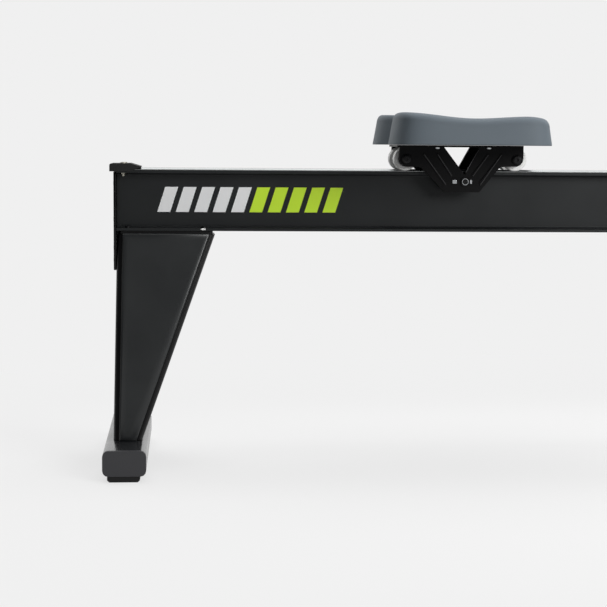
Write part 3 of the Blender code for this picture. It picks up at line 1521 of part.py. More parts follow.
def handle(root):
    """Pull handle: yoke with swivel, two raked rods and a rubber grip on each."""
    at = (HANDLE_X, 0.0, CHAIN_Z)
    plan = rounded_rectangle((-YOKE_REAR, YOKE_FRONT), (-YOKE_HALF, YOKE_HALF), YOKE_CORNER)
    yoke = prism("handle_bar", plan, -YOKE_THICK_HALF, YOKE_THICK_HALF, "Z")
    union(yoke, rod("swivel", SWIVEL_RADIUS, 0.0, SWIVEL_END, PIN_STEPS, "X"))
    reach = HANDLE_HALF / math.cos(math.radians(HANDLE_ANGLE))
    for side, word in ((1, "left"), (-1, "right")):
        union(yoke, slanted(rod("rod", HANDLE_ROD, 0.0, side * (reach - GRIP_CAP)), side))
        bore = HANDLE_ROD + GAP
        bottom = reach - GRIP_CAP + GAP
        profile = [
            (bore, side * GRIP_START),
            (GRIP_NECK, side * GRIP_START),
            (GRIP_RADIUS, side * (GRIP_START + GRIP_CAP)),
            (GRIP_RADIUS, side * (reach - GRIP_ROUND)),
            (GRIP_TIP, side * reach),
            (0, side * reach),
            (0, side * bottom),
            (bore, side * bottom),
        ]
        grip = lathe("handle_grip_" + word, profile, ring=True)
        finish(slanted(grip, side), RUBBER, root, at)
    finish(yoke, BLACK_PLASTIC, root, at)


def monitor_arm(root):
    """Curved arm from the lug on the fin to the head behind the monitor."""
    start, end = Vector((0.0, 0.0)), Vector((HEAD_X - LUG_X, HEAD_Z - LUG_Z))
    bend = Vector((-ARM_BEND_BACK, end.y * ARM_BEND_RISE))
    path = []
    for i in range(ARM_STEPS + 1):
        t = i / ARM_STEPS
        path.append(start * (1 - t) ** 2 + bend * 2 * t * (1 - t) + end * t * t)
    half = ARM_DEPTH / 2
    left = ribbon([tuple(p) for p in path], half)
    right = ribbon([tuple(p) for p in path], -half)
    count = len(path)
    outline = left[count:] + right[count:][::-1]
    arm = prism("monitor_arm", outline, -ARM_HALF, ARM_HALF)
    lug_half = FIN_INNER - 2 * GAP
    union(arm, rod("hub", ARM_HUB, -lug_half, lug_half))
    union(arm, rod("pin", AXLE_RADIUS, -FIN_OUTER, FIN_OUTER, PIN_STEPS))
    ear_far = ARM_HEAD_HALF + GAP + MONITOR_EAR
    head = rod("head", ARM_HEAD, -ARM_HEAD_HALF, ARM_HEAD_HALF)
    union(head, rod("head_pin", AXLE_RADIUS, -ear_far, ear_far, PIN_STEPS))
    union(arm, moved(head, end.x, 0.0, end.y))
    finish(arm, BLACK_PLASTIC, root, (LUG_X, 0.0, LUG_Z))


def monitor(root):
    """Monitor case with two ears, its screen pane and three push buttons."""
    at = (HEAD_X, 0.0, HEAD_Z)
    outline = rounded_rectangle((-MONITOR_HALF, MONITOR_HALF), (MONITOR_LOW, MONITOR_HIGH), MONITOR_CORNER)
    case = prism("monitor_case", outline, MONITOR_FACE, MONITOR_BACK, "X")
    bevel(case, MONITOR_EDGE, 1)
    pane = SCREEN_THICK + GAP
    ys = (-SCREEN_HALF - GAP, SCREEN_HALF + GAP)
    zs = (SCREEN_LOW - GAP, SCREEN_HIGH + GAP)
    cut(case, box("recess", (MONITOR_FACE - OVERCUT, MONITOR_FACE + pane + SCREEN_SUNK), ys, zs))
    depth = BUTTON_DEPTH + BUTTON_TRAVEL
    buttons = ((-1, "1"), (0, "2"), (1, "3"))
    for place, _ in buttons:
        centre = -place * BUTTON_Y
        half_y, half_z = BUTTON_HALF_Y + RUNNING, BUTTON_HALF_Z + RUNNING
        ys = (centre - half_y, centre + half_y)
        zs = (BUTTON_Z - half_z, BUTTON_Z + half_z)
        cut(case, box("well", (MONITOR_FACE - OVERCUT, MONITOR_FACE + depth), ys, zs))
    inside = ARM_HEAD_HALF + GAP
    root_x = MONITOR_BACK - WELD
    plan = arc((0, 0), ARM_HEAD, -90, 90, 8) + [(root_x, ARM_HEAD), (root_x, -ARM_HEAD)]
    for side in (-1, 1):
        ear = prism("ear", plan, side * inside, side * (inside + MONITOR_EAR))
        reach = (side * (inside - OVERCUT), side * (inside + OVERCUT))
        cut(ear, rod("hole", AXLE_RADIUS + RUNNING, *reach, PIN_STEPS))
        union(case, ear)
    finish(case, BLACK_PLASTIC, root, at, MONITOR_TILT)
    xs = (MONITOR_FACE + SCREEN_SUNK, MONITOR_FACE + SCREEN_SUNK + SCREEN_THICK)
    screen = box("monitor_screen", xs, (-SCREEN_HALF, SCREEN_HALF), (SCREEN_LOW, SCREEN_HIGH))
    finish(screen, SCREEN_GREEN, root, at, MONITOR_TILT)
    for place, word in buttons:
        xs = (MONITOR_FACE - BUTTON_PROUD, MONITOR_FACE - BUTTON_PROUD + BUTTON_DEPTH)
        centre = -place * BUTTON_Y
        ys = (centre - BUTTON_HALF_Y, centre + BUTTON_HALF_Y)
        button = box("monitor_button_" + word, xs, ys, (BUTTON_Z - BUTTON_HALF_Z, BUTTON_Z + BUTTON_HALF_Z))
        finish(button, BUTTON_GREY, root, at, MONITOR_TILT)


def drive(root):
    """Everything that the chain turns or passes, and the flywheel unit."""
    nose_roller(root)
    sprocket(root)
    chain_run(root)
    bearing(root)
    flywheel_axle(root)
    flywheel(root)
    housing(root)
    damper_ring(root)


def main():
    """Build the machine from the rear of the rail to the flywheel."""
    clear_scene()
    root = bpy.data.objects.new("root", None)
    bpy.context.scene.collection.objects.link(root)
    root.location = (-CENTRE_X, 0.0, 0.0)
    monorail(root)
    steel_track(root)
    stop("rear_stop", root, True, lambda u: u)
    stop("front_stop", root, False, lambda u: RAIL_END - u)
    end_plate(root)
    rear_support(root)
    seat_assembly(root)
    rail_tongue(root)
    rail_saddle(root)
    lock_lever(root)
    front_beam(root)
    front_support(root)
    frame_plate("frame_plate_left", root, 1)
    frame_plate("frame_plate_right", root, -1)
    chain_cover(root)
    drive(root)
    footrest(root)
    handle(root)
    monitor_arm(root)
    monitor(root)


main()
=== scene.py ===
"""Looks of an air rowing machine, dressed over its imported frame.

Sizes are in metres in the frame's own axes: X runs from the rear foot to the flywheel, Z is up, and the
rower's right side is at negative Y.
"""

import sys

import json
import logging
import math
from dataclasses import dataclass
from enum import Enum

import bmesh
import bpy
from mathutils import Matrix, Vector

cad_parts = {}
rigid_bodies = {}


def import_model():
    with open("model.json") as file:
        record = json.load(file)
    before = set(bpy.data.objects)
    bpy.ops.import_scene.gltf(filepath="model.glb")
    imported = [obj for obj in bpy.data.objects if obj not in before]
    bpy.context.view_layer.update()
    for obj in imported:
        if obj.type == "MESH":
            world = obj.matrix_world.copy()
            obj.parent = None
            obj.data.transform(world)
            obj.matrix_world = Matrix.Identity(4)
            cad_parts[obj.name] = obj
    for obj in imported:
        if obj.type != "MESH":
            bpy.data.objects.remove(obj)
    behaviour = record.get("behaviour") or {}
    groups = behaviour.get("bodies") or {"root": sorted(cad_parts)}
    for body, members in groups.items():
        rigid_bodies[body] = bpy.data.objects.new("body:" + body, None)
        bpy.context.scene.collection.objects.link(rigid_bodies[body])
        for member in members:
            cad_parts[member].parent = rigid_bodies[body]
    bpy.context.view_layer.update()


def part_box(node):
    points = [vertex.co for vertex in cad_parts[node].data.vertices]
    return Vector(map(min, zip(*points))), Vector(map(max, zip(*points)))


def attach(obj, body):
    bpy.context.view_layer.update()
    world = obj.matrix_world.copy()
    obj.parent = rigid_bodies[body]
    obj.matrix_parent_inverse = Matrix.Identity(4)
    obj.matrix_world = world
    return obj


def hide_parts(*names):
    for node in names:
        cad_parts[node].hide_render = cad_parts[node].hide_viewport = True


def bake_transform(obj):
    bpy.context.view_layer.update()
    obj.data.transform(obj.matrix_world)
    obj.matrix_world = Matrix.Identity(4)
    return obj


LOG = logging.getLogger("rower")
FRAME_PIXELS = 607
SENSOR_MM = 36.0
# Sign of Y and name of each hand of the machine.
SIDES = ((1, "left"), (-1, "right"))
UP = (0, 0, 1)
DOWN = (0, 0, -1)
Pair = tuple[float, float]
Spot = tuple[float, float, float]

# Blender's wave texture runs through 20 radians to the unit at scale 1.
WAVE_RADIANS = 20.0
# Part of the slow noise that drives a finish's roughness, and how far that falls and rises.
NOISE_BAND = (0.3, 0.7)
ROUGHNESS_DRIFT = (-0.04, 0.05)
LEAST_ROUGHNESS = 0.04
COAT_ROUGHNESS = 0.12


def linear(hex_colour: str) -> tuple[float, float, float, float]:
    """Turn an sRGB hex colour into linear light.

    Args:
        hex_colour: six hex digits with a leading hash.

    Returns:
        Linear red, green and blue, and an alpha of 1.
    """
    channels = [int(hex_colour[i : i + 2], 16) / 255 for i in (1, 3, 5)]
    light = [c / 12.92 if c <= 0.04045 else ((c + 0.055) / 1.055) ** 2.4 for c in channels]
    return (light[0], light[1], light[2], 1.0)


def add_node(tree: bpy.types.NodeTree, kind: str, inputs: dict | None = None, **settings) -> bpy.types.Node:
    """Add a node with its settings and inputs.

    Args:
        tree: the node tree that gets the node.
        kind: the node's type name.
        inputs: values or sockets by input name or number; a socket is linked.
        settings: attributes to set on the node before its inputs.

    Returns:
        The new node.
    """
    made = tree.nodes.new(kind)
    for key, value in settings.items():
        setattr(made, key, value)
    for key, value in (inputs or {}).items():
        if isinstance(value, bpy.types.NodeSocket):
            tree.links.new(value, made.inputs[key])
        else:
            made.inputs[key].default_value = value
    return made


class Pattern(Enum):
    """Fine relief that the making of a surface leaves on it."""

    PEEL = "peel"
    DRAWN = "drawn"
    PEBBLE = "pebble"
    WOVEN = "woven"
    TURNED = "turned"


@dataclass(frozen=True)
class Finish:
    """A surface: its material, how it was made, and what that gives the eye.

    Attributes:
        name: material and process.
        colour: sRGB hex of its body colour.
        roughness: mean roughness.
        pattern: the relief.
        pitch_mm: size of one grain, line or thread.
        depth_mm: depth of the relief.
        stretch: how much longer the relief runs along X, Y and Z.
        metallic: 1 for bare metal, less for a thin skin over it.
        specular: strength of the plain reflection.
        coat: share of a clear coat.
        sheen: share of the soft light that fibres and fine grain give at a low angle.
        mottle: share by which the colour drifts.
        mottle_mm: size of that drift.
    """

    name: str
    colour: str
    roughness: float
    pattern: Pattern = Pattern.PEEL
    pitch_mm: float = 2.4
    depth_mm: float = 0.02
    stretch: Spot = (1.0, 1.0, 1.0)
    metallic: float = 0.0
    specular: float = 0.5
    coat: float = 0.0
    sheen: float = 0.0
    mottle: float = 0.12
    mottle_mm: float = 70.0

    def relief(self, tree: bpy.types.NodeTree, place: bpy.types.NodeSocket) -> bpy.types.NodeSocket:
        """Draw the pattern's height.

        Args:
            tree: the material's nodes.
            place: position on the piece in metres.

        Returns:
            A socket with the height from 0 to 1.
        """
        scale = 1000.0 / self.pitch_mm
        squeeze = tuple(1.0 / s for s in self.stretch)
        spot = add_node(tree, "ShaderNodeMapping", {"Vector": place, "Scale": squeeze}).outputs["Vector"]
        waves = {"Vector": spot, "Scale": scale * math.tau / WAVE_RADIANS}
        if self.pattern is Pattern.PEBBLE:
            grains = {"Vector": spot, "Scale": scale, "Smoothness": 0.7}
            return add_node(tree, "ShaderNodeTexVoronoi", grains, feature="SMOOTH_F1").outputs["Distance"]
        if self.pattern is Pattern.WOVEN:
            threads = [
                add_node(tree, "ShaderNodeTexWave", waves, bands_direction=way).outputs["Fac"]
                for way in ("Y", "DIAGONAL")
            ]
            crossed = add_node(tree, "ShaderNodeMath", dict(enumerate(threads)), operation="MULTIPLY")
            return crossed.outputs[0]
        if self.pattern is Pattern.TURNED:
            waves |= {"Distortion": 0.6, "Detail": 2.0}
            rings = add_node(tree, "ShaderNodeTexWave", waves, wave_type="RINGS", rings_direction="Y")
            return rings.outputs["Fac"]
        grain = {"Vector": spot, "Scale": scale, "Detail": 2.0}
        return add_node(tree, "ShaderNodeTexNoise", grain).outputs[0]

    def material(self) -> bpy.types.Material:
        """Give the finish as a material, made once."""
        made = bpy.data.materials.get(self.name)
        if made is None:
            made = bpy.data.materials.new(self.name)
            made.use_nodes = True
            self.draw(made.node_tree)
        return made

    def draw(self, tree: bpy.types.NodeTree) -> None:
        """Set up the shader and the textures that drive it.

        Args:
            tree: the material's nodes, with the shader and output that a new material has.
        """
        shader = tree.nodes["Principled BSDF"]
        shader.inputs["Metallic"].default_value = self.metallic
        shader.inputs["Specular IOR Level"].default_value = self.specular
        shader.inputs["Coat Weight"].default_value = self.coat
        shader.inputs["Coat Roughness"].default_value = COAT_ROUGHNESS
        shader.inputs["Sheen Weight"].default_value = self.sheen
        place = add_node(tree, "ShaderNodeTexCoord").outputs["Object"]
        slow = {"Vector": place, "Scale": 1000.0 / self.mottle_mm, "Detail": 3.0}
        drift = add_node(tree, "ShaderNodeTexNoise", slow).outputs[0]
        body = linear(self.colour)
        dark = tuple(c * (1 - self.mottle) for c in body[:3]) + (1.0,)
        light = tuple(min(1.0, c * (1 + self.mottle)) for c in body[:3]) + (1.0,)
        blend = add_node(tree, "ShaderNodeMix", {0: drift, 6: dark, 7: light}, data_type="RGBA")
        tree.links.new(blend.outputs[2], shader.inputs["Base Color"])
        fall, rise = ROUGHNESS_DRIFT
        band = {
            "Value": drift,
            "From Min": NOISE_BAND[0],
            "From Max": NOISE_BAND[1],
            "To Min": max(LEAST_ROUGHNESS, self.roughness + fall),
            "To Max": self.roughness + rise,
        }
        gloss = add_node(tree, "ShaderNodeMapRange", band)
        tree.links.new(gloss.outputs[0], shader.inputs["Roughness"])
        height = {"Strength": 1.0, "Distance": self.depth_mm / 1000, "Height": self.relief(tree, place)}
        bump = add_node(tree, "ShaderNodeBump", height)
        tree.links.new(bump.outputs["Normal"], shader.inputs["Normal"])


@dataclass(frozen=True)
class PaperSweep(Finish):
    """Pale paper that keeps the shadow near the machine and fades into the backdrop.

    Attributes:
        bounce: sRGB hex of the paper in the light that it sends back to the machine.
        lit_share: share of the light on it that shows, and with it the machine's shadow.
        dip: how far its own glow lies under its colour, to make room for that light.
        weights: weights of X, Y and Z in the distance from the machine.
        fade: distances where it starts and ends to fade.
    """

    bounce: str = "#7d7d7d"
    lit_share: float = 0.26
    dip: float = 0.29
    weights: Spot = (0.45, 1.00, 0.00)
    fade: Pair = (0.25, 1.10)

    def draw(self, tree: bpy.types.NodeTree) -> None:
        """Show the paper lit near the machine and plain further off, and dim what it bounces.

        Args:
            tree: the material's nodes.
        """
        tree.nodes.clear()
        pale = linear(self.colour)
        glow = tuple(c - self.dip for c in pale[:3]) + (1.0,)
        lit = add_node(tree, "ShaderNodeBsdfDiffuse", {"Color": (self.lit_share,) * 3 + (1.0,)})
        rest = add_node(tree, "ShaderNodeEmission", {"Color": glow})
        near = add_node(tree, "ShaderNodeAddShader", {0: lit.outputs[0], 1: rest.outputs[0]})
        far = add_node(tree, "ShaderNodeEmission", {"Color": pale})
        place = add_node(tree, "ShaderNodeTexCoord").outputs["Object"]
        drawn_in = add_node(tree, "ShaderNodeVectorMath", {0: place, 1: self.weights}, operation="MULTIPLY")
        reach = add_node(tree, "ShaderNodeVectorMath", {0: drawn_in.outputs[0]}, operation="LENGTH")
        band = {"Value": reach.outputs["Value"], "From Min": self.fade[0], "From Max": self.fade[1]}
        fade = add_node(tree, "ShaderNodeMapRange", band, interpolation_type="SMOOTHSTEP")
        seen = add_node(
            tree, "ShaderNodeMixShader", {0: fade.outputs[0], 1: near.outputs[0], 2: far.outputs[0]}
        )
        bounce = add_node(tree, "ShaderNodeBsdfDiffuse", {"Color": linear(self.bounce)})
        path = add_node(tree, "ShaderNodeLightPath").outputs
        direct = path["Is Camera Ray"]
        for ray in ("Is Glossy Ray", "Is Transmission Ray"):
            either = {0: direct, 1: path[ray]}
            direct = add_node(tree, "ShaderNodeMath", either, operation="MAXIMUM").outputs[0]
        mixed = add_node(tree, "ShaderNodeMixShader", {0: direct, 1: bounce.outputs[0], 2: seen.outputs[0]})
        add_node(tree, "ShaderNodeOutputMaterial", {0: mixed.outputs[0]})


# Dark anodised extrusion: a satin skin with faint lines along the rail from the die.
ANODISED = Finish(
    "anodised_aluminium_extruded", "#1f2122", 0.40, Pattern.DRAWN, 1.8, 0.012, (40, 1, 1), metallic=0.25,
    specular=0.30,
)
# Cold-rolled stainless strip: bright, with long fine rolling lines, polished where the rollers run.
STRIP = Finish(
    "stainless_steel_rolled", "#8d8f8f", 0.30, Pattern.DRAWN, 1.2, 0.006, (60, 1, 1), metallic=1.0,
    mottle=0.05,
)
# Baked polyester powder over folded steel: near black, with a slight orange peel.
POWDER = Finish("steel_powder_coated", "#252728", 0.38, Pattern.PEEL, 3.0, 0.030, specular=0.45, mottle=0.15)
# A darker copy of the same powder, blacker and smoother. On the legs' folded sheet it is painted shade that
# darkens the rounded folds round the lighter raised panels; the end plate gets it too.
POWDER_BLACK_AND_SHADE = Finish(
    "steel_powder_black_and_painted_shade", "#070708", 0.32, Pattern.PEEL, 3.0, 0.020, specular=0.2, mottle=0.1
)
# The foot bars' glossier coat of the same black, which mirrors the backdrop at a low angle.
GLOSS_COAT = Finish("steel_gloss_coated", "#1c1d1f", 0.28, Pattern.PEEL, 4.0, 0.010, coat=0.20, mottle=0.10)
# Glass-filled nylon, moulded: dull black with a fine pebble.
NYLON_BLACK = Finish("nylon_moulded_black", "#040405", 0.46, Pattern.PEBBLE, 1.4, 0.012, specular=0.12)
# Grey strips of the same nylon along the ribs: a painted highlight where the raised ribs catch the light.
NYLON_RIB_HIGHLIGHT = Finish("nylon_painted_rib_highlight", "#2c2c2d", 0.30, Pattern.PEEL, 1.4, 0.004, specular=0.5)
# ABS, moulded, spark-eroded tool: even dark grey with a soft sheen, and the same in near black.
ABS_GREY = Finish("abs_moulded_grey", "#363639", 0.48, Pattern.PEBBLE, 1.2, 0.02, mottle=0.06)
ABS_BLACK = Finish("abs_moulded_black", "#1b1c1d", 0.40, Pattern.PEBBLE, 1.2, 0.015, mottle=0.08)
# Styrene-butadiene rubber, moulded: matt and slightly dusty.
RUBBER = Finish("rubber_moulded", "#1a1a1a", 0.72, Pattern.PEEL, 1.6, 0.05, specular=0.3, mottle=0.2)
# Integral-skin polyurethane foam: blue grey and matt, with a low pebble grain.
SEAT_SKIN = Finish(
    "polyurethane_skin_moulded", "#666f76", 0.56, Pattern.PEBBLE, 1.9, 0.05, specular=0.18, mottle=0.05
)
# Acetal rollers, turned after moulding: milky white and satin, with faint turning rings. The same white makes
# the ovals on the rail's lower flange, a painted highlight for the glint on a zinc screw head.
ACETAL_AND_GLINT = Finish(
    "acetal_turned_and_painted_glint", "#fdfdfb", 0.50, Pattern.TURNED, 1.2, 0.004, specular=0.4, sheen=0.4, mottle=0.01
)
# Zinc-plated fasteners: pale grey metal.
ZINC = Finish("steel_zinc_plated", "#b9bcbe", 0.30, Pattern.PEEL, 1.0, 0.01, metallic=1.0, mottle=0.08)
# Yellow-chromated screws and nuts of the stops: grey metal with a faint straw tint.
CHROMATE = Finish("steel_chromated", "#98958b", 0.34, Pattern.TURNED, 0.8, 0.01, metallic=1.0)
# Black-oxide socket screws: oily black steel.
OXIDE = Finish("steel_black_oxide", "#19191a", 0.40, Pattern.PEEL, 1.0, 0.01, metallic=0.7)
# Nickel-plated roller chain: warm bright metal.
NICKEL = Finish("steel_nickel_plated", "#b4b1aa", 0.24, Pattern.PEEL, 1.5, 0.01, metallic=1.0)
# Pressed aluminium of the fan wheel: mill finish, with lines along the blades.
FAN_ALLOY = Finish(
    "aluminium_pressed", "#a9adb0", 0.36, Pattern.DRAWN, 1.5, 0.01, (1, 1, 30), metallic=1.0, mottle=0.06
)
# Woven polyester webbing: drawn at a 2 mm thread, coarser than life, so that it shows.
WEBBING = Finish("polyester_woven", "#1d1e20", 0.85, Pattern.WOVEN, 2.0, 0.15, sheen=0.3, mottle=0.15)
# Printed vinyl stripes on the rail's web: smooth and even.
VINYL_GREY = Finish("vinyl_printed_grey", "#fbfcfd", 0.34, Pattern.PEEL, 5.0, 0.008, mottle=0.03)
VINYL_LIME = Finish("vinyl_printed_lime", "#d6fd3c", 0.34, Pattern.PEEL, 5.0, 0.008, mottle=0.03)
# Silicone push buttons: soft mid grey.
SILICONE = Finish("silicone_moulded", "#8d9296", 0.60, Pattern.PEEL, 1.0, 0.01, mottle=0.04)
# Liquid-crystal pane: grey green behind clear plastic, with near-black segments.
LCD = Finish("lcd_polarised", "#a9b09a", 0.16, Pattern.PEEL, 8.0, 0.0, coat=0.6, mottle=0.03)
LCD_INK = Finish("lcd_segment", "#23261f", 0.30, Pattern.PEEL, 8.0, 0.0, mottle=0.02)
# Closed-cell foam sleeve of the handle grips: matt, with open grain.
GRIP_FOAM = Finish(
    "nitrile_foam_moulded", "#1e1f20", 0.78, Pattern.PEBBLE, 1.5, 0.10, specular=0.25, mottle=0.12
)
# White print for scale marks: flat ink.
PRINT_WHITE = Finish("ink_printed_white", "#d8d9da", 0.45, Pattern.PEEL, 4.0, 0.0, mottle=0.02)
# Seamless paper: the pale sweep that the machine stands on.
PAPER = PaperSweep("paper_sweep", "#f0f0f0", 0.9)


def unit_circle(steps: int) -> list[Pair]:
    """Give points round a circle of radius 1, anticlockwise."""
    turns = [math.tau * i / steps for i in range(steps)]
    return [(math.cos(t), math.sin(t)) for t in turns]


def rounded_outline(a: Pair, b: Pair, radius: float, steps: int = 5) -> list[Pair]:
    """Give a rectangle with round corners.

    Args:
        a: lowest and highest first coordinate.
        b: lowest and highest second coordinate.
        radius: corner radius.
        steps: points on each corner, less one.

    Returns:
        The outline, anticlockwise.
    """
    points = []
    corners = ((a[1], b[1], 0), (a[0], b[1], 90), (a[0], b[0], 180), (a[1], b[0], 270))
    for x, y, turn in corners:
        cx = x - math.copysign(radius, x - (a[0] + a[1]) / 2)
        cy = y - math.copysign(radius, y - (b[0] + b[1]) / 2)
        for i in range(steps + 1):
            angle = math.radians(turn + 90 * i / steps)
            points.append((cx + radius * math.cos(angle), cy + radius * math.sin(angle)))
    return points


def hexagon(across: float, steps: int = 24) -> list[Pair]:
    """Sample a hexagon by angle, so that it pairs with a circle of as many points.

    Args:
        across: half the width over the flats.
        steps: number of points.

    Returns:
        Points round the hexagon.
    """
    ring = []
    for c, s in unit_circle(steps):
        turn = math.atan2(s, c) % (math.tau / 6) - math.pi / 6
        reach = across / math.cos(turn)
        ring.append((reach * c, reach * s))
    return ring


def cross(length: float, width: float, steps: int = 24) -> list[Pair]:
    """Sample a plus sign by angle, for a cross-head recess.

    Args:
        length: half the length of an arm.
        width: half the width of an arm.
        steps: number of points.

    Returns:
        Points round the plus sign.
    """
    ring = []
    for c, s in unit_circle(steps):
        c, s = c or 1e-9, s or 1e-9
        reach = max(min(length / abs(c), width / abs(s)), min(width / abs(c), length / abs(s)))
        ring.append((reach * c, reach * s))
    return ring


def ring_profile(inner: float, outer: float, low: float, high: float) -> list[Pair]:
    """Give the closed profile of a flat ring, as pairs of radius and height.

    Args:
        inner: inner radius.
        outer: outer radius.
        low: height of its under side.
        high: height of its upper side.

    Returns:
        The profile, which ends where it starts.
    """
    return [(inner, low), (outer, low), (outer, high), (inner, high), (inner, low)]


def pin_profile(radius: float, half: float) -> list[Pair]:
    """Give the profile of a plain pin, from the middle of one end to the middle of the other."""
    return [(0.0, -half), (radius, -half), (radius, half), (0.0, half)]


def even_profile(near: list[Pair], low: float, high: float) -> list[Pair]:
    """Close a profile whose two faces are alike.

    Args:
        near: radius and depth under the low face, from the bore to the tread.
        low: height of one face.
        high: height of the other.

    Returns:
        Pairs of radius and height over both faces, which end where they start.
    """
    points = [(radius, low + depth) for radius, depth in near]
    points += [(radius, high - depth) for radius, depth in reversed(near)]
    return points + points[:1]


def mirrored(profile: list[Pair], side: int) -> list[Pair]:
    """Give a profile with its heights on the given side."""
    return [(radius, side * height) for radius, height in profile]


@dataclass(frozen=True)
class Screw:
    """A screw's head with the recess for its driver.

    Attributes:
        radius: radius of the head.
        height: height of the head.
        recess: points of the recess, as many as the head gets round it.
        dome: share of the height that is rounded off.
        floor: share of the height at which the recess ends.
        tip: share of the height of the recess's middle.
        dome_steps: rings of the dome.
    """

    radius: float
    height: float
    recess: list
    dome: float = 0.5
    floor: float = 0.45
    tip: float = 0.40
    dome_steps: int = 3

    def rings(self) -> list[tuple[list[Pair], float]]:
        """Give the head's rings from its seat up and down into the recess, each with its height."""
        soft = self.height * self.dome
        shape = [(self.radius, 0.0)]
        for i in range(self.dome_steps + 1):
            turn = math.radians(90 * i / self.dome_steps)
            inward, down = soft * (1 - math.cos(turn)), soft * (1 - math.sin(turn))
            shape.append((self.radius - inward, self.height - down))
        circle = unit_circle(len(self.recess))
        rings = [([(reach * c, reach * s) for c, s in circle], lift) for reach, lift in shape]
        rings += [(self.recess, self.height * share) for share in (1.0, self.floor)]
        return rings + [([(0.0, 0.0)], self.height * self.tip)]


class Form:
    """A mesh being made in metres, at an origin that its texture starts from."""

    def __init__(self, origin: Spot = (0.0, 0.0, 0.0)) -> None:
        """Start an empty form.

        Args:
            origin: the finished piece's origin.
        """
        self.mesh = bmesh.new()
        self.origin = Vector(origin)

    def skin(self, rings: list, capped: bool = True) -> "Form":
        """Join closed rings of points into a surface.

        Args:
            rings: lists of points; a list of one point is a pole.
            capped: whether the first and last ring get a face.

        Returns:
            This form.
        """
        rows = [[self.mesh.verts.new(Vector(p) - self.origin) for p in ring] for ring in rings]
        for one, two in zip(rows, rows[1:]):
            for i in range(max(len(one), len(two))):
                k = i + 1
                corners = (one[i % len(one)], one[k % len(one)], two[k % len(two)], two[i % len(two)])
                corners = list(dict.fromkeys(corners))
                if len(corners) > 2:
                    self.mesh.faces.new(corners)
        if capped:
            for row in (rows[0], rows[-1]):
                if len(row) > 2:
                    self.mesh.faces.new(row)
        return self

    def turned(self, profile: list, centre: tuple, axis: tuple = (0, 1, 0), steps: int = 48) -> "Form":
        """Turn a profile round an axis.

        Args:
            profile: pairs of radius and height along the axis; equal ends close a ring.
            centre: point on the axis at height 0.
            axis: direction of the axis.
            steps: faces round it.

        Returns:
            This form.
        """
        along = Vector(axis).normalized()
        side = along.orthogonal().normalized()
        up = along.cross(side)
        rings = []
        for radius, height in profile:
            base = Vector(centre) + along * height
            around = unit_circle(steps) if radius > 1e-7 else [(0.0, 0.0)]
            rings.append([base + side * radius * c + up * radius * s for c, s in around])
        return self.skin(rings, capped=profile[0] != profile[-1])

    def prism(self, outline: list, low: float, high: float, axis: str = "Y") -> "Form":
        """Push an outline along an axis.

        Args:
            outline: pairs in the plane across the axis: x and z, y and z, or x and y.
            low: start along the axis.
            high: end along the axis.
            axis: X, Y or Z.

        Returns:
            This form.
        """
        order = {"X": (2, 0, 1), "Y": (0, 2, 1), "Z": (0, 1, 2)}[axis]
        return self.skin([[tuple((u, v, w)[i] for i in order) for u, v in outline] for w in (low, high)])

    def heads(self, spots: list[Spot], axis: tuple, screw: Screw) -> "Form":
        """Add the same screw head at several places.

        Args:
            spots: middles of the heads' seats.
            axis: direction that the heads point in.
            screw: the head.

        Returns:
            This form.
        """
        along = Vector(axis).normalized()
        side = along.orthogonal().normalized()
        up = along.cross(side)
        for spot in spots:
            base = Vector(spot)
            rings = []
            for ring, lift in screw.rings():
                rings.append([base + along * lift + side * u + up * v for u, v in ring])
            self.skin(rings)
        return self

    def moved(self, matrix: Matrix) -> "Form":
        """Transform everything made so far."""
        self.mesh.transform(matrix)
        return self

    def piece(
        self, name: str, finish: Finish, body: str, bevel_mm: float = 0.0, smooth: float = 38.0
    ) -> bpy.types.Object:
        """Turn the form into a piece that rides on a body.

        Args:
            name: the piece's name.
            finish: its surface.
            body: the body that it moves with, or nothing.
            bevel_mm: width of its eased edges.
            smooth: largest angle between faces that still shades smooth, in degrees.

        Returns:
            The piece.
        """
        bmesh.ops.recalc_face_normals(self.mesh, faces=self.mesh.faces)
        data = bpy.data.meshes.new(name)
        self.mesh.to_mesh(data)
        self.mesh.free()
        data.shade_smooth()
        data.set_sharp_from_angle(angle=math.radians(smooth))
        data.materials.append(finish.material())
        made = bpy.data.objects.new(name, data)
        made.location = self.origin
        bpy.context.scene.collection.objects.link(made)
        if bevel_mm:
            ease(made, bevel_mm)
        if body:
            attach(made, body)
            LOG.info("%s rides on %s in %s", name, body, finish.name)
        return made


def ease(piece: bpy.types.Object, width_mm: float, angle: float = 35.0) -> None:
    """Round a piece's sharp edges.

    Args:
        piece: the mesh object.
        width_mm: width of the rounding.
        angle: smallest angle between faces that counts as an edge, in degrees.
    """
    bevel = piece.modifiers.new("eased", "BEVEL")
    bevel.width = width_mm / 1000
    bevel.segments = 2
    bevel.limit_method = "ANGLE"
    bevel.angle_limit = math.radians(angle)
    bevel.harden_normals = True
    bevel.use_clamp_overlap = True


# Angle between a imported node's faces, in degrees, up to which it shades smooth and keeps its edge.
SOLID_ANGLE = 32.0
MERGE_DISTANCE = 1e-5


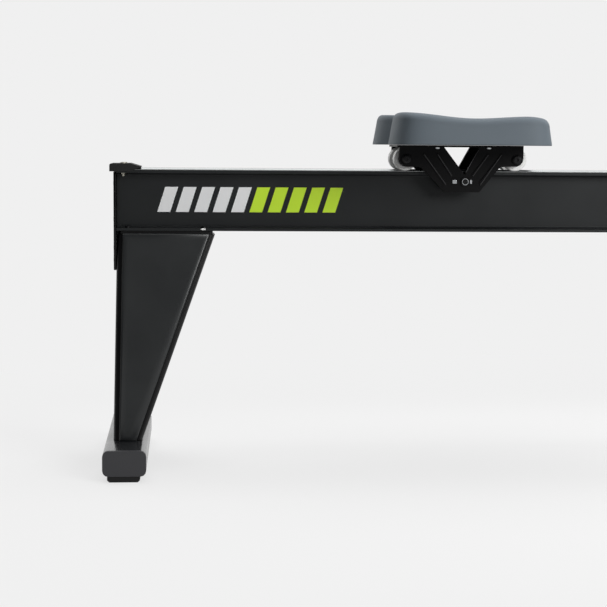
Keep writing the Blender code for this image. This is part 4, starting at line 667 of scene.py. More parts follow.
def whole_mesh_tree() -> bpy.types.NodeTree:
    """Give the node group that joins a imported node's loose faces and shades them by angle, made once."""
    tree = bpy.data.node_groups.get("whole_mesh")
    if tree:
        return tree
    tree = bpy.data.node_groups.new("whole_mesh", "GeometryNodeTree")
    tree.is_modifier = True
    for way in ("INPUT", "OUTPUT"):
        tree.interface.new_socket("Geometry", in_out=way, socket_type="NodeSocketGeometry")
    start = add_node(tree, "NodeGroupInput").outputs[0]
    loose = {"Geometry": start, "Distance": MERGE_DISTANCE}
    merged = add_node(tree, "GeometryNodeMergeByDistance", loose).outputs[0]
    packed = {"Geometry": merged, "Name": "custom_normal"}
    plain = add_node(tree, "GeometryNodeRemoveAttribute", packed).outputs[0]
    angle = add_node(tree, "GeometryNodeInputMeshEdgeAngle").outputs[0]
    limit = {0: angle, 1: math.radians(SOLID_ANGLE)}
    flat = add_node(tree, "FunctionNodeCompare", limit, data_type="FLOAT", operation="LESS_EQUAL").outputs[0]
    smooth = {"Geometry": plain, "Shade Smooth": True}
    faces = add_node(tree, "GeometryNodeSetShadeSmooth", smooth).outputs[0]
    by_angle = {"Geometry": faces, "Shade Smooth": flat}
    edges = add_node(tree, "GeometryNodeSetShadeSmooth", by_angle, domain="EDGE").outputs[0]
    add_node(tree, "NodeGroupOutput", {0: edges})
    return tree


def dress(name: str, finish: Finish, bevel_mm: float = 0.0) -> None:
    """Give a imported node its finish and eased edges.

    Args:
        name: the node.
        finish: its surface.
        bevel_mm: width of its eased edges, or 0 to leave them crisp.
    """
    made = bpy.data.objects[name]
    for slot in made.material_slots:
        slot.material = finish.material()
    made.modifiers.new("whole", "NODES").node_group = whole_mesh_tree()
    if bevel_mm:
        ease(made, bevel_mm, SOLID_ANGLE)
    LOG.info("%s keeps its solid in %s", name, finish.name)


def dress_hands(name: str, finish: Finish, bevel_mm: float = 0.0) -> None:
    """Dress the left and the right one of a pair of nodes.

    Args:
        name: what their names have in common.
        finish: their surface.
        bevel_mm: width of their eased edges.
    """
    for _, hand in SIDES:
        dress(f"{name}_{hand}", finish, bevel_mm)


@dataclass(frozen=True)
class Lamp:
    """A soft box: where it hangs, what it faces, its width and height, and its light in watts."""

    name: str
    at: Spot
    aim: Spot
    size: Pair
    power: float

    def hang(self) -> None:
        """Add it to the studio."""
        data = bpy.data.lights.new(self.name, "AREA")
        data.shape = "RECTANGLE"
        data.size, data.size_y = self.size
        data.energy = self.power
        made = bpy.data.objects.new(self.name, data)
        made.location = self.at
        made.rotation_euler = (Vector(self.aim) - Vector(self.at)).to_track_quat("-Z", "Y").to_euler()
        bpy.context.scene.collection.objects.link(made)


@dataclass
class Studio:
    """Camera, soft light, floor and pale backdrop."""

    eye: Spot = (-1.10285, -2.2318, 0.4641)
    yaw: float = 4.3251
    pitch: float = -5.9683
    roll: float = 0.4476
    focal_pixels: float = 1534.9281
    clip: Pair = (0.05, 60.0)
    backdrop: str = "#f0f0f0"
    world_light: Pair = (0.08, 1.00)
    world_band: Pair = (-0.05, 0.80)
    bright_side: Spot = (0.10, 1.00, 0.12)
    floor_reach: float = 30.0
    floor_level: float = -0.0004
    lamps: tuple = (
        Lamp("overhead", (-0.6, 0.3, 3.2), (-0.6, 0.0, 0.3), (3.6, 2.4), 80.0),
        Lamp("right_front", (0.95, -2.1, 1.35), (-0.5, 0.0, 0.4), (1.5, 1.2), 64.0),
    )

    def camera(self) -> None:
        """Place the camera where the photograph was taken from."""
        yaw, pitch, roll = (math.radians(a) for a in (self.yaw, self.pitch, self.roll))
        ahead = Vector((math.sin(yaw) * math.cos(pitch), math.cos(yaw) * math.cos(pitch), math.sin(pitch)))
        level = Vector((math.cos(yaw), -math.sin(yaw), 0.0))
        over = level.cross(ahead)
        right = level * math.cos(roll) + over * math.sin(roll)
        up = over * math.cos(roll) - level * math.sin(roll)
        data = bpy.data.cameras.new("camera")
        data.sensor_width = SENSOR_MM
        data.lens = self.focal_pixels * SENSOR_MM / FRAME_PIXELS
        data.clip_start, data.clip_end = self.clip
        made = bpy.data.objects.new("camera", data)
        made.matrix_world = Matrix.Translation(self.eye) @ Matrix((right, up, -ahead)).transposed().to_4x4()
        bpy.context.scene.collection.objects.link(made)
        bpy.context.scene.camera = made

    def surround(self) -> None:
        """Set a plain world: pale to the camera, bright behind the machine, dim in front and at the left."""
        world = bpy.data.worlds.new("studio")
        world.use_nodes = True
        bpy.context.scene.world = world
        tree = world.node_tree
        tree.nodes.clear()
        path = add_node(tree, "ShaderNodeLightPath").outputs["Is Camera Ray"]
        way = add_node(tree, "ShaderNodeTexCoord").outputs["Generated"]
        turned = {0: way, 1: self.bright_side}
        across = add_node(tree, "ShaderNodeVectorMath", turned, operation="DOT_PRODUCT")
        band = {
            "Value": across.outputs["Value"],
            "From Min": self.world_band[0],
            "From Max": self.world_band[1],
            "To Min": self.world_light[0],
            "To Max": self.world_light[1],
        }
        level = add_node(tree, "ShaderNodeMapRange", band, interpolation_type="SMOOTHSTEP")
        around = add_node(tree, "ShaderNodeBackground", {"Color": (1, 1, 1, 1), "Strength": level.outputs[0]})
        seen = add_node(tree, "ShaderNodeBackground", {"Color": linear(self.backdrop)})
        mixed = add_node(tree, "ShaderNodeMixShader", {0: path, 1: around.outputs[0], 2: seen.outputs[0]})
        add_node(tree, "ShaderNodeOutputWorld", {0: mixed.outputs[0]})

    def floor(self) -> None:
        """Lay a round sheet of paper under the machine."""
        reach, level = self.floor_reach, self.floor_level
        form = Form().skin([[(x * reach, y * reach, level) for x, y in unit_circle(64)]], capped=False)
        form.mesh.faces.new(form.mesh.verts)
        made = form.piece("floor", PAPER, "")

    def build(self) -> None:
        """Set up everything that isn't the machine."""
        self.camera()
        self.surround()
        self.floor()
        for lamp in self.lamps:
            lamp.hang()
        bpy.context.scene.view_settings.view_transform = "Standard"


@dataclass
class RailUnit:
    """Monorail with its running strip, stops, end plate, screws and stripes.

    Attributes:
        plug_at: place along the rail and height of a white oval, a painted highlight for a screw head's
            glint.
        plug_half: half its length and height.
        plug_rings: how far each of its rings stands out, and the ring's share of its size.
        stripe_at: start of the first stripe, its lower and its upper edge.
        stripe: width, pitch and lean of a stripe.
        stripe_skin: under and upper face of the print over the web.
        leg_rows: places of the leg's screws.
        tongue_rows: places of the tongue's screws.
        stop_rows: places of the stops' screws.
        nut: half the width over a stop nut's flats, and its height.
        plate_rows: heights of the end plate's screws.
    """

    web: float = 0.0120
    flange_top: float = 0.4200
    flange_low: float = 0.3416
    lip: float = 0.0300
    plug_at: Pair = (-1.0812, 0.3402)
    plug_half: Pair = (0.0035, 0.0015)
    plug_rings: tuple = ((-0.0003, 1.0), (0.0004, 1.0), (0.0007, 0.7))
    stripe_at: Spot = (-1.1470, 0.3640, 0.4000)
    stripe: Spot = (0.0185, 0.0265, 0.0115)
    stripe_skin: Pair = (0.00005, 0.00025)
    stripe_count: int = 5
    leg_rows: tuple = (("rear", -1.1890), ("front", -1.0801))
    tongue_rows: Pair = (0.0750, 0.1250)
    stop_rows: tuple = (("rear", -1.1952), ("front", 0.1508))
    screw_y: float = 0.0212
    stop_top: float = 0.4334
    nut: Pair = (0.0044, 0.0020)
    plate_y: float = 0.0180
    plate_rows: tuple = (0.2960, 0.3130, 0.3540, 0.4050)
    leg_screw: Screw = Screw(0.0040, 0.0024, cross(0.0024, 0.0007))
    tongue_screw: Screw = Screw(0.0045, 0.0026, cross(0.0024, 0.0007))
    stop_screw: Screw = Screw(0.0044, 0.0014, hexagon(0.0020))
    stop_stud: Screw = Screw(0.0022, 0.0032, hexagon(0.0001), 0.3)
    plate_screw: Screw = Screw(0.0045, 0.0005, hexagon(0.0020), 0.6)

    def stripes(self) -> None:
        """Put plain slanted stripes on both sides of the web: grey first, then lime."""
        width, pitch, lean = self.stripe
        for side, hand in SIDES:
            x, low, high = self.stripe_at
            for finish, word in ((VINYL_GREY, "grey"), (VINYL_LIME, "lime")):
                form = Form()
                for _ in range(self.stripe_count):
                    corners = [(x, low), (x + width, low), (x + width + lean, high), (x + lean, high)]
                    form.prism(corners, *(side * (self.web + skin) for skin in self.stripe_skin))
                    x += pitch
                form.piece(f"rail_stripes_{word}_{hand}", finish, "rail")

    def row(self, x: float, z: float) -> list[Spot]:
        """Give the places of a left and a right screw."""
        return [(x, side * self.screw_y, z) for side, _ in SIDES]

    def leg_screws(self) -> None:
        """Add the two pairs of screws that hold the leg."""
        for word, x in self.leg_rows:
            form = Form((x, 0.0, self.flange_low)).heads(self.row(x, self.flange_low), UP, self.leg_screw)
            form.piece(f"leg_screws_{word}", OXIDE, "rail")

    def screws(self) -> None:
        """Add the screws of the tongue, the stops and the end plate."""
        spots = [spot for x in self.tongue_rows for spot in self.row(x, self.flange_low)]
        Form().heads(spots, UP, self.tongue_screw).piece("tongue_screws", OXIDE, "rail")
        across, height = self.nut
        for word, x in self.stop_rows:
            tops = Form().heads(self.row(x, self.stop_top), UP, self.stop_screw)
            tops.piece(f"stop_screws_{word}", CHROMATE, "rail")
            seats = self.row(x, self.flange_top - height)
            nuts = Form().heads(seats, DOWN, self.stop_stud)
            for _, y, low in seats:
                nuts.prism([(x + u, y + v) for u, v in hexagon(across)], low, self.flange_top, "Z")
            nuts.piece(f"stop_nuts_{word}", CHROMATE, "rail")
        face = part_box("rear_end_plate")[0][0]
        spots = [(face, y, z) for y in (-self.plate_y, self.plate_y) for z in self.plate_rows]
        Form().heads(spots, (-1, 0, 0), self.plate_screw).piece("end_plate_screws", OXIDE, "rail")

    def plugs(self) -> None:
        """Set a white oval on each side of the bottom flange's lip: painted highlight of a zinc screw head.
        """
        along, middle = self.plug_at
        form = Form()
        for side, _ in SIDES:
            rings = []
            for proud, share in self.plug_rings:
                wide, high = (half * share for half in self.plug_half)
                y = side * (self.lip + proud)
                rings.append([(along + wide * c, y, middle + high * s) for c, s in unit_circle(20)])
            form.skin(rings)
        form.piece("flange_screw_glints", ACETAL_AND_GLINT, "rail")

    def build(self) -> None:
        """Dress the rail and add its small pieces."""
        dress("monorail", ANODISED, 0.5)
        dress("steel_track", STRIP, 0.25)
        dress("rear_stop", RUBBER, 1.6)
        dress("front_stop", RUBBER, 1.6)
        dress("rear_end_plate", POWDER_BLACK_AND_SHADE, 0.5)
        dress("rail_tongue", POWDER, 0.5)
        self.stripes()
        self.leg_screws()
        # White ovals on the flange: painted highlights of the screw heads.
        self.plugs()
        self.screws()


# Rear face of the rail's leg and front face of the front leg, from which both legs are counted.
LEG_PLANE = -1.20875
FRONT_PLANE = 1.1350


@dataclass
class LegPanels:
    """Raised side panels of a folded leg, inside its rounded corners.

    Attributes:
        name: what the names of both panels start with.
        body: the body that they ride on.
        top: place of the leg's two edges at the top, half its width and its height there.
        foot: place of the two edges at the foot, and their height.
        border: bare width beside the straight and the slanted edge.
    """

    name: str
    body: str
    plane: float
    way: float
    foot_half: float
    top: tuple = (0.0046, 0.1445, 0.0300, 0.3323)
    foot: tuple = (0.0006, 0.0414, 0.0439)
    border: Pair = (0.0078, 0.0082)
    margin: float = -0.0015
    top_share: float = 0.3
    sunk: float = 0.0004
    proud: float = 0.0034
    fold: float = 0.0085
    flat_share: float = 1.3
    fold_steps: int = 5

    def corner(self, share: float, front: bool, lift: float, side: int) -> Spot:
        """Give a point on the side face.

        Args:
            share: 0 at the top and 1 at the foot.
            front: whether it is the slanted edge's side.
            lift: distance off the face.
            side: sign of the side.

        Returns:
            The point.
        """
        rear = self.top[0] + (self.foot[0] - self.top[0]) * share + self.border[0]
        ahead = self.top[1] + (self.foot[1] - self.top[1]) * share - self.border[1]
        half = self.top[2] + (self.foot_half - self.top[2]) * share
        height = self.top[3] + (self.foot[2] - self.top[3]) * share
        return (self.plane + self.way * (ahead if front else rear), side * (half + lift), height)

    def build(self) -> None:
        """Raise a panel on each side of the leg, with a rounded fold along its edges."""
        reach = self.top[3] - self.foot[2]
        low, high = self.margin / reach, 1 - self.top_share * self.margin / reach
        steps = [(-self.sunk, 0.0)]
        for k in range(self.fold_steps + 1):
            turn = math.radians(90) * k / self.fold_steps
            steps.append((self.proud * math.sin(turn), self.fold * (1 - math.cos(turn))))
        steps.append((self.proud, self.fold * self.flat_share))
        for side, hand in SIDES:
            rings = []
            for lift, inset in steps:
                ring = []
                for share, front in ((low, False), (low, True), (high, True), (high, False)):
                    x, y, z = self.corner(share, front, lift, side)
                    shift = -inset if front else inset
                    drop = -inset if share == low else inset
                    ring.append((x + self.way * shift, y, z + drop))
                rings.append(ring)
            Form().skin(rings).piece(f"{self.name}_{hand}", POWDER, self.body)


@dataclass
class RearSupport:
    """Folded leg, foot bar, end caps and pads, with a rubber packing behind the leg's neck.

    Attributes:
        heights: the packing's lower end, the two sides of its step, and its upper end.
    """

    plate: float = -1.2048
    neck: float = -1.2014
    leg_back: float = -1.2043
    heights: tuple = (0.3290, 0.3322, 0.3326, 0.3374)
    half: float = 0.0215
    foot_half: float = 0.0830

    def packing(self) -> None:
        """Close the slit between the end plate and the leg's neck with an L-shaped rubber strip."""
        low, step_low, step_high, top = self.heights
        outline = [(self.plate, low), (self.leg_back, low), (self.leg_back, step_low)]
        outline += [(self.neck, step_high), (self.neck, top), (self.plate, top)]
        Form().prism(outline, -self.half, self.half).piece("leg_packing_strip", RUBBER, "rail", 0.2)

    def build(self) -> None:
        """Dress the leg and its foot."""
        # The leg's darker powder is painted shade on its folds round the lighter panels.
        dress("rear_leg", POWDER_BLACK_AND_SHADE, 0.4)
        LegPanels("rear_leg_panel", "rail", LEG_PLANE, 1.0, self.foot_half).build()
        self.packing()
        dress("rear_foot_bar", GLOSS_COAT, 0.3)
        dress_hands("rear_foot_cap", ABS_GREY, 0.8)
        dress_hands("rear_foot_pad", RUBBER, 0.6)


@dataclass
class Seat:
    """Moulded seat with two wells and a tail-bone notch.

    Attributes:
        dip: depth, place and reach of the hollow across the whole seat.
        well: the same of the two wells.
        well_across: distance of the wells from the middle, and their reach across.
        channel: depth, place and reach of the channel along the middle.
        notch: depth of the notch in the rear edge and its reach across.
        flash: inset and height over the bottom of each ring of the under side and the flash line.
        side_levels: shares of the side's height that get a ring.
    """

    rear: float = -0.82335
    front: float = -0.59625
    half: float = 0.1580
    bottom: float = 0.4627
    top: float = 0.5085
    slope: float = 0.0260
    dip: Spot = (0.0062, 0.1066, 0.0600)
    well: Spot = (0.0060, 0.0926, 0.0550)
    well_across: Pair = (0.0620, 0.0380)
    channel: Spot = (0.0030, 0.0446, 0.0800)
    channel_half: float = 0.0180
    droop: float = 0.0065
    droop_start: float = 0.1796
    edge: float = 0.0110
    draft: float = 0.0045
    lean: float = 0.0040
    notch: Pair = (0.0260, 0.0420)
    power: float = 7.0
    crowd: float = 0.1125
    steps: int = 192
    flash: tuple = (
        (0.0300, 0.0002), (0.0020, 0.0), (0.0006, 0.0002), (0.0001, 0.0008), (0.0003, 0.0020),
        (0.0004, 0.0028),
    )
    side_levels: tuple = (0.12, 0.3, 0.5, 0.7, 0.86)
    rim_steps: int = 10
    top_steps: int = 15

    def height(self, x: float, y: float) -> float:
        """Give the height of the dished top.

        Args:
            x: place along the rail.
            y: place across it.

        Returns:
            The height above the floor, before the rim is rounded.
        """
        along = x - self.rear
        base = self.top - self.slope * along
        for (depth, place, reach), across in (
            (self.dip, 0.0),
            (self.well, (abs(y) - self.well_across[0]) / self.well_across[1]),
            (self.channel, y / self.channel_half),
        ):
            base -= depth * math.exp(-(across**2) - ((along - place) / reach) ** 2)
        share = max(0.0, (along - self.droop_start) / (self.front - self.rear - self.droop_start))
        return base - self.droop * share**2

    def outline(self) -> list[Vector]:
        """Give the plan: a squarish oval with the notch in its rear edge."""
        centre, reach = (self.rear + self.front) / 2, (self.front - self.rear) / 2
        depth, wide = self.notch
        points = []
        for i in range(self.steps):
            even = math.tau * (i + 0.5) / self.steps
            turn = even + self.crowd * math.sin(4 * even)
            c, s = math.cos(turn), math.sin(turn)
            swell = (abs(c) ** self.power + abs(s) ** self.power) ** (-1 / self.power)
            x, y = centre + swell * c * reach, swell * s * self.half
            if c < 0:
                x += depth * math.exp(-((y / wide) ** 2))
            points.append(Vector((x, y)))
        return points

    def pad(self) -> bpy.types.Object:
        """Mould the seat: flash line, drafted sides, round rim and dished top."""
        centre = Vector(((self.rear + self.front) / 2, 0.0))
        outline = self.outline()
        rings = []
        for inset, z in self.flash:
            rings.append([(*self.inward(centre, p, inset), self.bottom + z) for p in outline])
        start, lift = self.flash[-1]
        low = self.bottom + lift
        for share in self.side_levels:
            spots = [self.inward(centre, p, start + (self.draft - start) * share) for p in outline]
            rings.append([(u, v, low + (self.height(u, v) - self.edge - low) * share) for u, v in spots])
        for i in range(self.rim_steps + 1):
            turn = math.radians(90 * i / self.rim_steps)
            spots = [self.inward(centre, p, self.draft + self.edge * (1 - math.cos(turn))) for p in outline]
            rings.append([(u, v, self.height(u, v) - self.edge * (1 - math.sin(turn))) for u, v in spots])
        rim = self.draft + self.edge
        for k in range(1, self.top_steps):
            share = k / self.top_steps
            spots = [self.inward(centre, p, rim + ((p - centre).length - rim) * share) for p in outline]
            rings.append([(u, v, self.height(u, v)) for u, v in spots])
        rings.append([(centre.x, 0.0, self.height(centre.x, 0.0))])
        form = Form().skin([[(self.leaned(x, z), y, z) for x, y, z in ring] for ring in rings])
        return form.piece("seat_moulding", SEAT_SKIN, "seat", smooth=50.0)

    def leaned(self, x: float, z: float) -> float:
        """Lean the rear of the seat forward towards its top.

        Args:
            x: place along the rail before it leans.
            z: height above the floor.

        Returns:
            The place along the rail.
        """
        rear = max(0.0, 1.0 - 2 * (x - self.rear) / (self.front - self.rear))
        return x + self.lean * rear**3 * (z - self.bottom) / (self.top - self.bottom)

    @staticmethod
    def inward(centre: Vector, point: Vector, inset: float) -> Pair:
        """Move a plan point towards the centre.

        Args:
            centre: the seat's middle.
            point: a point of the outline.
            inset: how far in.

        Returns:
            The moved point.
        """
        spoke = point - centre
        spot = centre + spoke * (1 - inset / spoke.length)
        return spot.x, spot.y

    def build(self) -> None:
        """Put the moulding in the plain seat's place."""
        moulding = self.pad()
        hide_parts("seat_pad")


@dataclass
class Carriage:
    """Cast carriage with four running rollers, two guide rollers and their bolts.

    Attributes:
        axles: place of each axle along the rail.
        guide_at: place and height of the guide rollers' bolts.
        roller: radius of a running roller, its inner and its outer face.
        tread: radius and depth of its profile from the bore to the rim's rounding.
        rounding: how far the rounded edge draws in, and its depth under the face, up to the tread.
        seal: inner and outer radius of a bearing's seal, and its lower and upper side under the face.
        guide: radius of a guide roller, its inner and its outer face.
        guide_edge: how far its rounded edge draws in, and its depth under the face.
        guide_hub: radius and depth of its sunk hub, down to the bore.
        axle: radius of an axle's shank and half its length.
        rim: inner and outer radius and thickness of the guide bolts' washers.
        screw_rows: places of the seat's screws.
        ribs: ends of each grey line on the cheeks' ribs, a painted highlight where they catch the light, and
            half its width.
        rib_face: where those lines lie, and where the print starts and ends over it.
        tabs: start and length of each lock tab.
        tab_face: under side and thickness of the tabs.
        tab_heights: their lower and upper edge.
    """

    axle_z: float = 0.4424
    axles: tuple = (("rear", -0.79145), ("front", -0.63155))
    guide_at: Pair = (-0.70605, 0.4105)
    cheek: float = 0.0440
    roller: Spot = (0.0168, 0.0180, 0.0340)
    tread: tuple = ((0.0043, 0.0), (0.0062, 0.0), (0.0066, 0.0008), (0.0104, 0.0008), (0.0108, 0.0))
    rounding: tuple = ((0.0030, 0.0), (0.0012, 0.0003), (0.0002, 0.0014), (0.0, 0.0030))
    seal: tuple = (0.0067, 0.0102, 0.0007, 0.0003)
    guide: Spot = (0.0092, 0.0170, 0.0290)
    guide_edge: tuple = ((0.0016, 0.0), (0.0004, 0.0006), (0.0, 0.0020))
    guide_hub: tuple = ((0.0062, 0.0), (0.0060, 0.0006), (0.0043, 0.0006))
    axle: Pair = (0.0040, 0.0440)
    rim: Spot = (0.0040, 0.0047, 0.0007)
    axle_seat: float = 0.0003
    guide_seat: float = 0.0022
    screw_rows: Pair = (-0.74665, -0.67205)
    screw_z: float = 0.4594
    ribs: tuple = (
        ((-0.7658, 0.4490), (-0.7338, 0.4058), 0.0006), ((-0.7461, 0.4490), (-0.7256, 0.4188), 0.0006),
        ((-0.6541, 0.4490), (-0.6842, 0.4058), 0.0004), ((-0.6731, 0.4490), (-0.6949, 0.4188), 0.0004),
    )
    rib_face: Spot = (0.0460, 0.00005, 0.00025)
    tabs: tuple = ((-0.7245, 0.0062), (-0.6991, 0.0028))
    tab_face: Pair = (0.0456, 0.0005)
    tab_heights: Pair = (0.4078, 0.4132)
    axle_head: Screw = Screw(0.0065, 0.0042, hexagon(0.0026, 30), 0.45)
    guide_head: Screw = Screw(0.0039, 0.0014, hexagon(0.0022, 30), 0.4)
    seat_screw: Screw = Screw(0.0036, 0.0022, cross(0.0022, 0.0007))

    def running_roller(self, word: str, hand: str, side: int, x: float) -> None:
        """Turn one roller with its tread, face groove, bearing and seal.

        Args:
            word: rear or front.
            hand: left or right.
            side: sign of the side.
            x: the axle's place along the rail.
        """
        r, low, high = self.roller
        centre = (x, 0.0, self.axle_z)
        near = list(self.tread) + [(r - inset, depth) for inset, depth in self.rounding]
        form = Form(centre).turned(mirrored(even_profile(near, low, high), side), centre, steps=64)
        made = form.piece(f"running_roller_{word}_{hand}", ACETAL_AND_GLINT, f"{word}_rollers")
        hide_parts(f"seat_roller_{word}_{hand}")
        inner, outer, under, over = self.seal
        seal = mirrored(ring_profile(inner, outer, high - under, high - over), side)
        Form(centre).turned(seal, centre).piece(f"bearing_seal_{word}_{hand}", OXIDE, f"{word}_rollers")

    def guide_roller(self, hand: str, side: int) -> None:
        """Turn one lower roller that holds the seat down.

        Args:
            hand: left or right.
            side: sign of the side.
        """
        r, low, high = self.guide
        bore = self.guide_hub[-1][0]
        profile = [(bore, low)] + [(r - inset, low + depth) for inset, depth in self.guide_edge]
        profile += [(r - inset, high - depth) for inset, depth in reversed(self.guide_edge)]
        profile += [(radius, high - depth) for radius, depth in self.guide_hub] + [(bore, low)]
        centre = (self.guide_at[0], 0.0, self.guide_at[1])
        form = Form(centre).turned(mirrored(profile, side), centre)
        made = form.piece(f"lower_roller_{hand}", ACETAL_AND_GLINT, "guide_rollers")
        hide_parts(f"guide_roller_{hand}")

    def bolts(self) -> None:
        """Add the axle bolts, the guide bolts and the seat screws."""
        for word, x in self.axles:
            centre = (x, 0.0, self.axle_z)
            form = Form(centre).turned(pin_profile(*self.axle), centre, steps=24)
            for side, _ in SIDES:
                seat = (x, side * (self.cheek + self.axle_seat), self.axle_z)
                form.heads([seat], (0, side, 0), self.axle_head)
            made = form.piece(f"axle_bolt_{word}", OXIDE, "seat")
            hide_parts(f"seat_axle_{word}")
        heads, washers = Form(), Form()
        inner, outer, thick = self.rim
        for side, _ in SIDES:
            seat = (self.guide_at[0], side * (self.cheek + self.guide_seat), self.guide_at[1])
            heads.heads([seat], (0, side, 0), self.guide_head)
            washers.turned(mirrored(ring_profile(inner, outer, 0.0, thick), side), seat, steps=30)
        heads.piece("guide_bolt_heads", OXIDE, "seat")
        washers.piece("guide_bolt_washers", ZINC, "seat")
        spots = [(x, side * self.cheek, self.screw_z) for x in self.screw_rows for side, _ in SIDES]
        Form().heads(spots, DOWN, self.seat_screw).piece("seat_screws", ZINC, "seat")

    def face_details(self) -> None:
        """Add painted highlights along the cheeks' ribs and the bright lock tabs beside the guide bolt."""
        form = Form()
        face, under, over = self.rib_face
        for start, end, half in self.ribs:
            way = (Vector(end) - Vector(start)).normalized()
            across = Vector((-way.y, way.x)) * half
            ends = ((start, 1), (end, 1), (end, -1), (start, -1))
            corners = [tuple(Vector(p) + across * k) for p, k in ends]
            for side, _ in SIDES:
                form.prism(corners, side * (face + under), side * (face + over))
        # The grey lines on the ribs are painted highlight.
        form.piece("carriage_rib_highlights", NYLON_RIB_HIGHLIGHT, "seat")
        form = Form()
        face, thick = self.tab_face
        for x, reach in self.tabs:
            outline = rounded_outline((x, x + reach), self.tab_heights, 0.0010, 3)
            for side, _ in SIDES:
                form.prism(outline, side * face, side * (face + thick))
        form.piece("carriage_lock_tabs", ZINC, "seat", 0.15)

    def build(self) -> None:
        """Dress the casting and add what turns or holds."""
        dress("seat_carriage", NYLON_BLACK, 0.35)
        self.face_details()
        for word, x in self.axles:
            for side, hand in SIDES:
                self.running_roller(word, hand, side, x)
        for side, hand in SIDES:
            self.guide_roller(hand, side)
        self.bolts()


@dataclass
class FrontFrame:
    """Beam, saddle, lock, leg, foot bar, casters and the fin with its cover.

    Attributes:
        frame_bolts: places and heights of the fin's bolts on both sides.
        left_bolts: those on the left side alone.
        cover_screws: places and heights of the cover's screws on both sides.
        left_screws: those on the left side alone.
        plate_rows: distances of the end plate's screws from the middle.
        plate_heights: their heights.
        saddle_rows: places of the saddle's screws.
        saddle_across: their distances from the middle.
        caster: middle of a caster, with its distance from the middle of the machine.
        tyre: radius and depth of the tyre's profile, under its side faces.
        tyre_crown: radius and height of the tyre's crown.
        hub: radius and depth of the hub's profile, under its side faces.
        pin: radius and half length of a caster's pin.
        lock: middle of the lock's pin, with the distance of its ends.
        nose: the same of the nose roller's pin.
    """

    fin_face: float = 0.0328
    frame_bolts: tuple = ((0.4750, 0.3880), (0.6000, 0.3880))
    left_bolts: tuple = ((0.8000, 0.3880), (1.0150, 0.3880))
    cover_screws: tuple = ((0.5100, 0.6880), (0.5750, 0.6865))
    left_screws: tuple = ((0.7400, 0.6830), (0.8100, 0.6815))
    plate_rows: Pair = (-0.0180, 0.0180)
    plate_heights: Spot = (0.2960, 0.3130, 0.4050)
    saddle_rows: Pair = (0.1790, 0.2360)
    saddle_across: Pair = (-0.0220, 0.0220)
    saddle_z: float = 0.3075
    caster: Spot = (1.1920, 0.2500, 0.0360)
    tyre: tuple = ((0.0205, 0.0), (0.0255, 0.0), (0.0266, 0.0008), (0.0275, 0.0060))
    tyre_crown: Pair = (0.0278, 0.0)
    hub: tuple = (
        (0.0045, 0.0), (0.0080, 0.0), (0.0088, 0.0035), (0.0180, 0.0035), (0.0190, 0.0008),
        (0.0204, 0.0008),
    )
    wheel_half: float = 0.0120
    pin: Pair = (0.0040, 0.0162)
    lock: Spot = (0.21625, 0.0267, 0.3129)
    nose: Spot = (0.43125, 0.0331, 0.6400)
    pin_seat: float = 0.0002
    foot_half: float = 0.1300
    fin_bolt: Screw = Screw(0.0060, 0.0033, hexagon(0.0024))
    cover_screw: Screw = Screw(0.0036, 0.0020, hexagon(0.0014))
    plate_screw: Screw = Screw(0.0045, 0.0022, hexagon(0.0024))
    saddle_screw: Screw = Screw(0.0032, 0.0024, hexagon(0.0014))
    lock_head: Screw = Screw(0.0062, 0.0026, cross(0.0026, 0.0008))
    nose_head: Screw = Screw(0.0075, 0.0026, cross(0.0026, 0.0008))
    pin_head: Screw = Screw(0.0062, 0.0024, hexagon(0.0022))

    def fasteners(self) -> None:
        """Add the fin's bolts and cover screws, the end plate's bolts and the saddle's screws."""
        for side, hand in SIDES:
            bolts = self.frame_bolts + (self.left_bolts if side > 0 else ())
            screws = self.cover_screws + (self.left_screws if side > 0 else ())
            for name, places, screw in (
                ("fin_bolts", bolts, self.fin_bolt),
                ("cover_screws", screws, self.cover_screw),
            ):
                spots = [(x, side * self.fin_face, z) for x, z in places]
                Form().heads(spots, (0, side, 0), screw).piece(f"{name}_{hand}", OXIDE, "frame")
        spots = [(FRONT_PLANE, y, z) for y in self.plate_rows for z in self.plate_heights]
        Form().heads(spots, (1, 0, 0), self.plate_screw).piece("front_plate_screws", OXIDE, "frame")
        spots = [(x, y, self.saddle_z) for x in self.saddle_rows for y in self.saddle_across]
        Form().heads(spots, DOWN, self.saddle_screw).piece("saddle_screws", OXIDE, "frame")

    def pin_heads(self) -> None:
        """Add the heads of the lock's pin and the nose roller's pin."""
        for name, (x, y, z), body, screw in (
            ("lock_pin_heads", self.lock, "lock", self.lock_head),
            ("nose_pin_heads", self.nose, "frame", self.nose_head),
        ):
            form = Form((x, 0.0, z))
            for side, _ in SIDES:
                form.heads([(x, side * (y + self.pin_seat), z)], (0, side, 0), screw)
            form.piece(name, ZINC, body)

    def caster_wheel(self, hand: str, side: int) -> None:
        """Turn a caster's tyre, its dished hub and its pin.

        Args:
            hand: left or right.
            side: sign of the side.
        """
        x, across, z = self.caster
        centre = (x, side * across, z)
        low, high = -self.wheel_half, self.wheel_half
        tyre = even_profile(list(self.tyre), low, high)
        tyre.insert(len(self.tyre), self.tyre_crown)
        hub = even_profile(list(self.hub), low, high)
        body = f"{hand}_caster"
        Form(centre).turned(tyre, centre, steps=64).piece(f"caster_tyre_{hand}", RUBBER, body)
        made = Form(centre).turned(hub, centre, steps=64).piece(f"caster_hub_{hand}", ABS_GREY, body)
        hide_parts(f"caster_wheel_{hand}")
        form = Form(centre).turned(pin_profile(*self.pin), centre, steps=24)
        for way in (1, -1):
            form.heads([(x, side * across + way * self.pin[1], z)], (0, way, 0), self.pin_head)
        form.piece(f"caster_pin_{hand}", ZINC, body)

    def build(self) -> None:
        """Dress the front frame and add its small pieces."""
        dress("front_beam", ANODISED, 0.6)
        dress("rail_saddle", POWDER, 0.5)
        dress("lock_lever", ABS_GREY, 0.8)
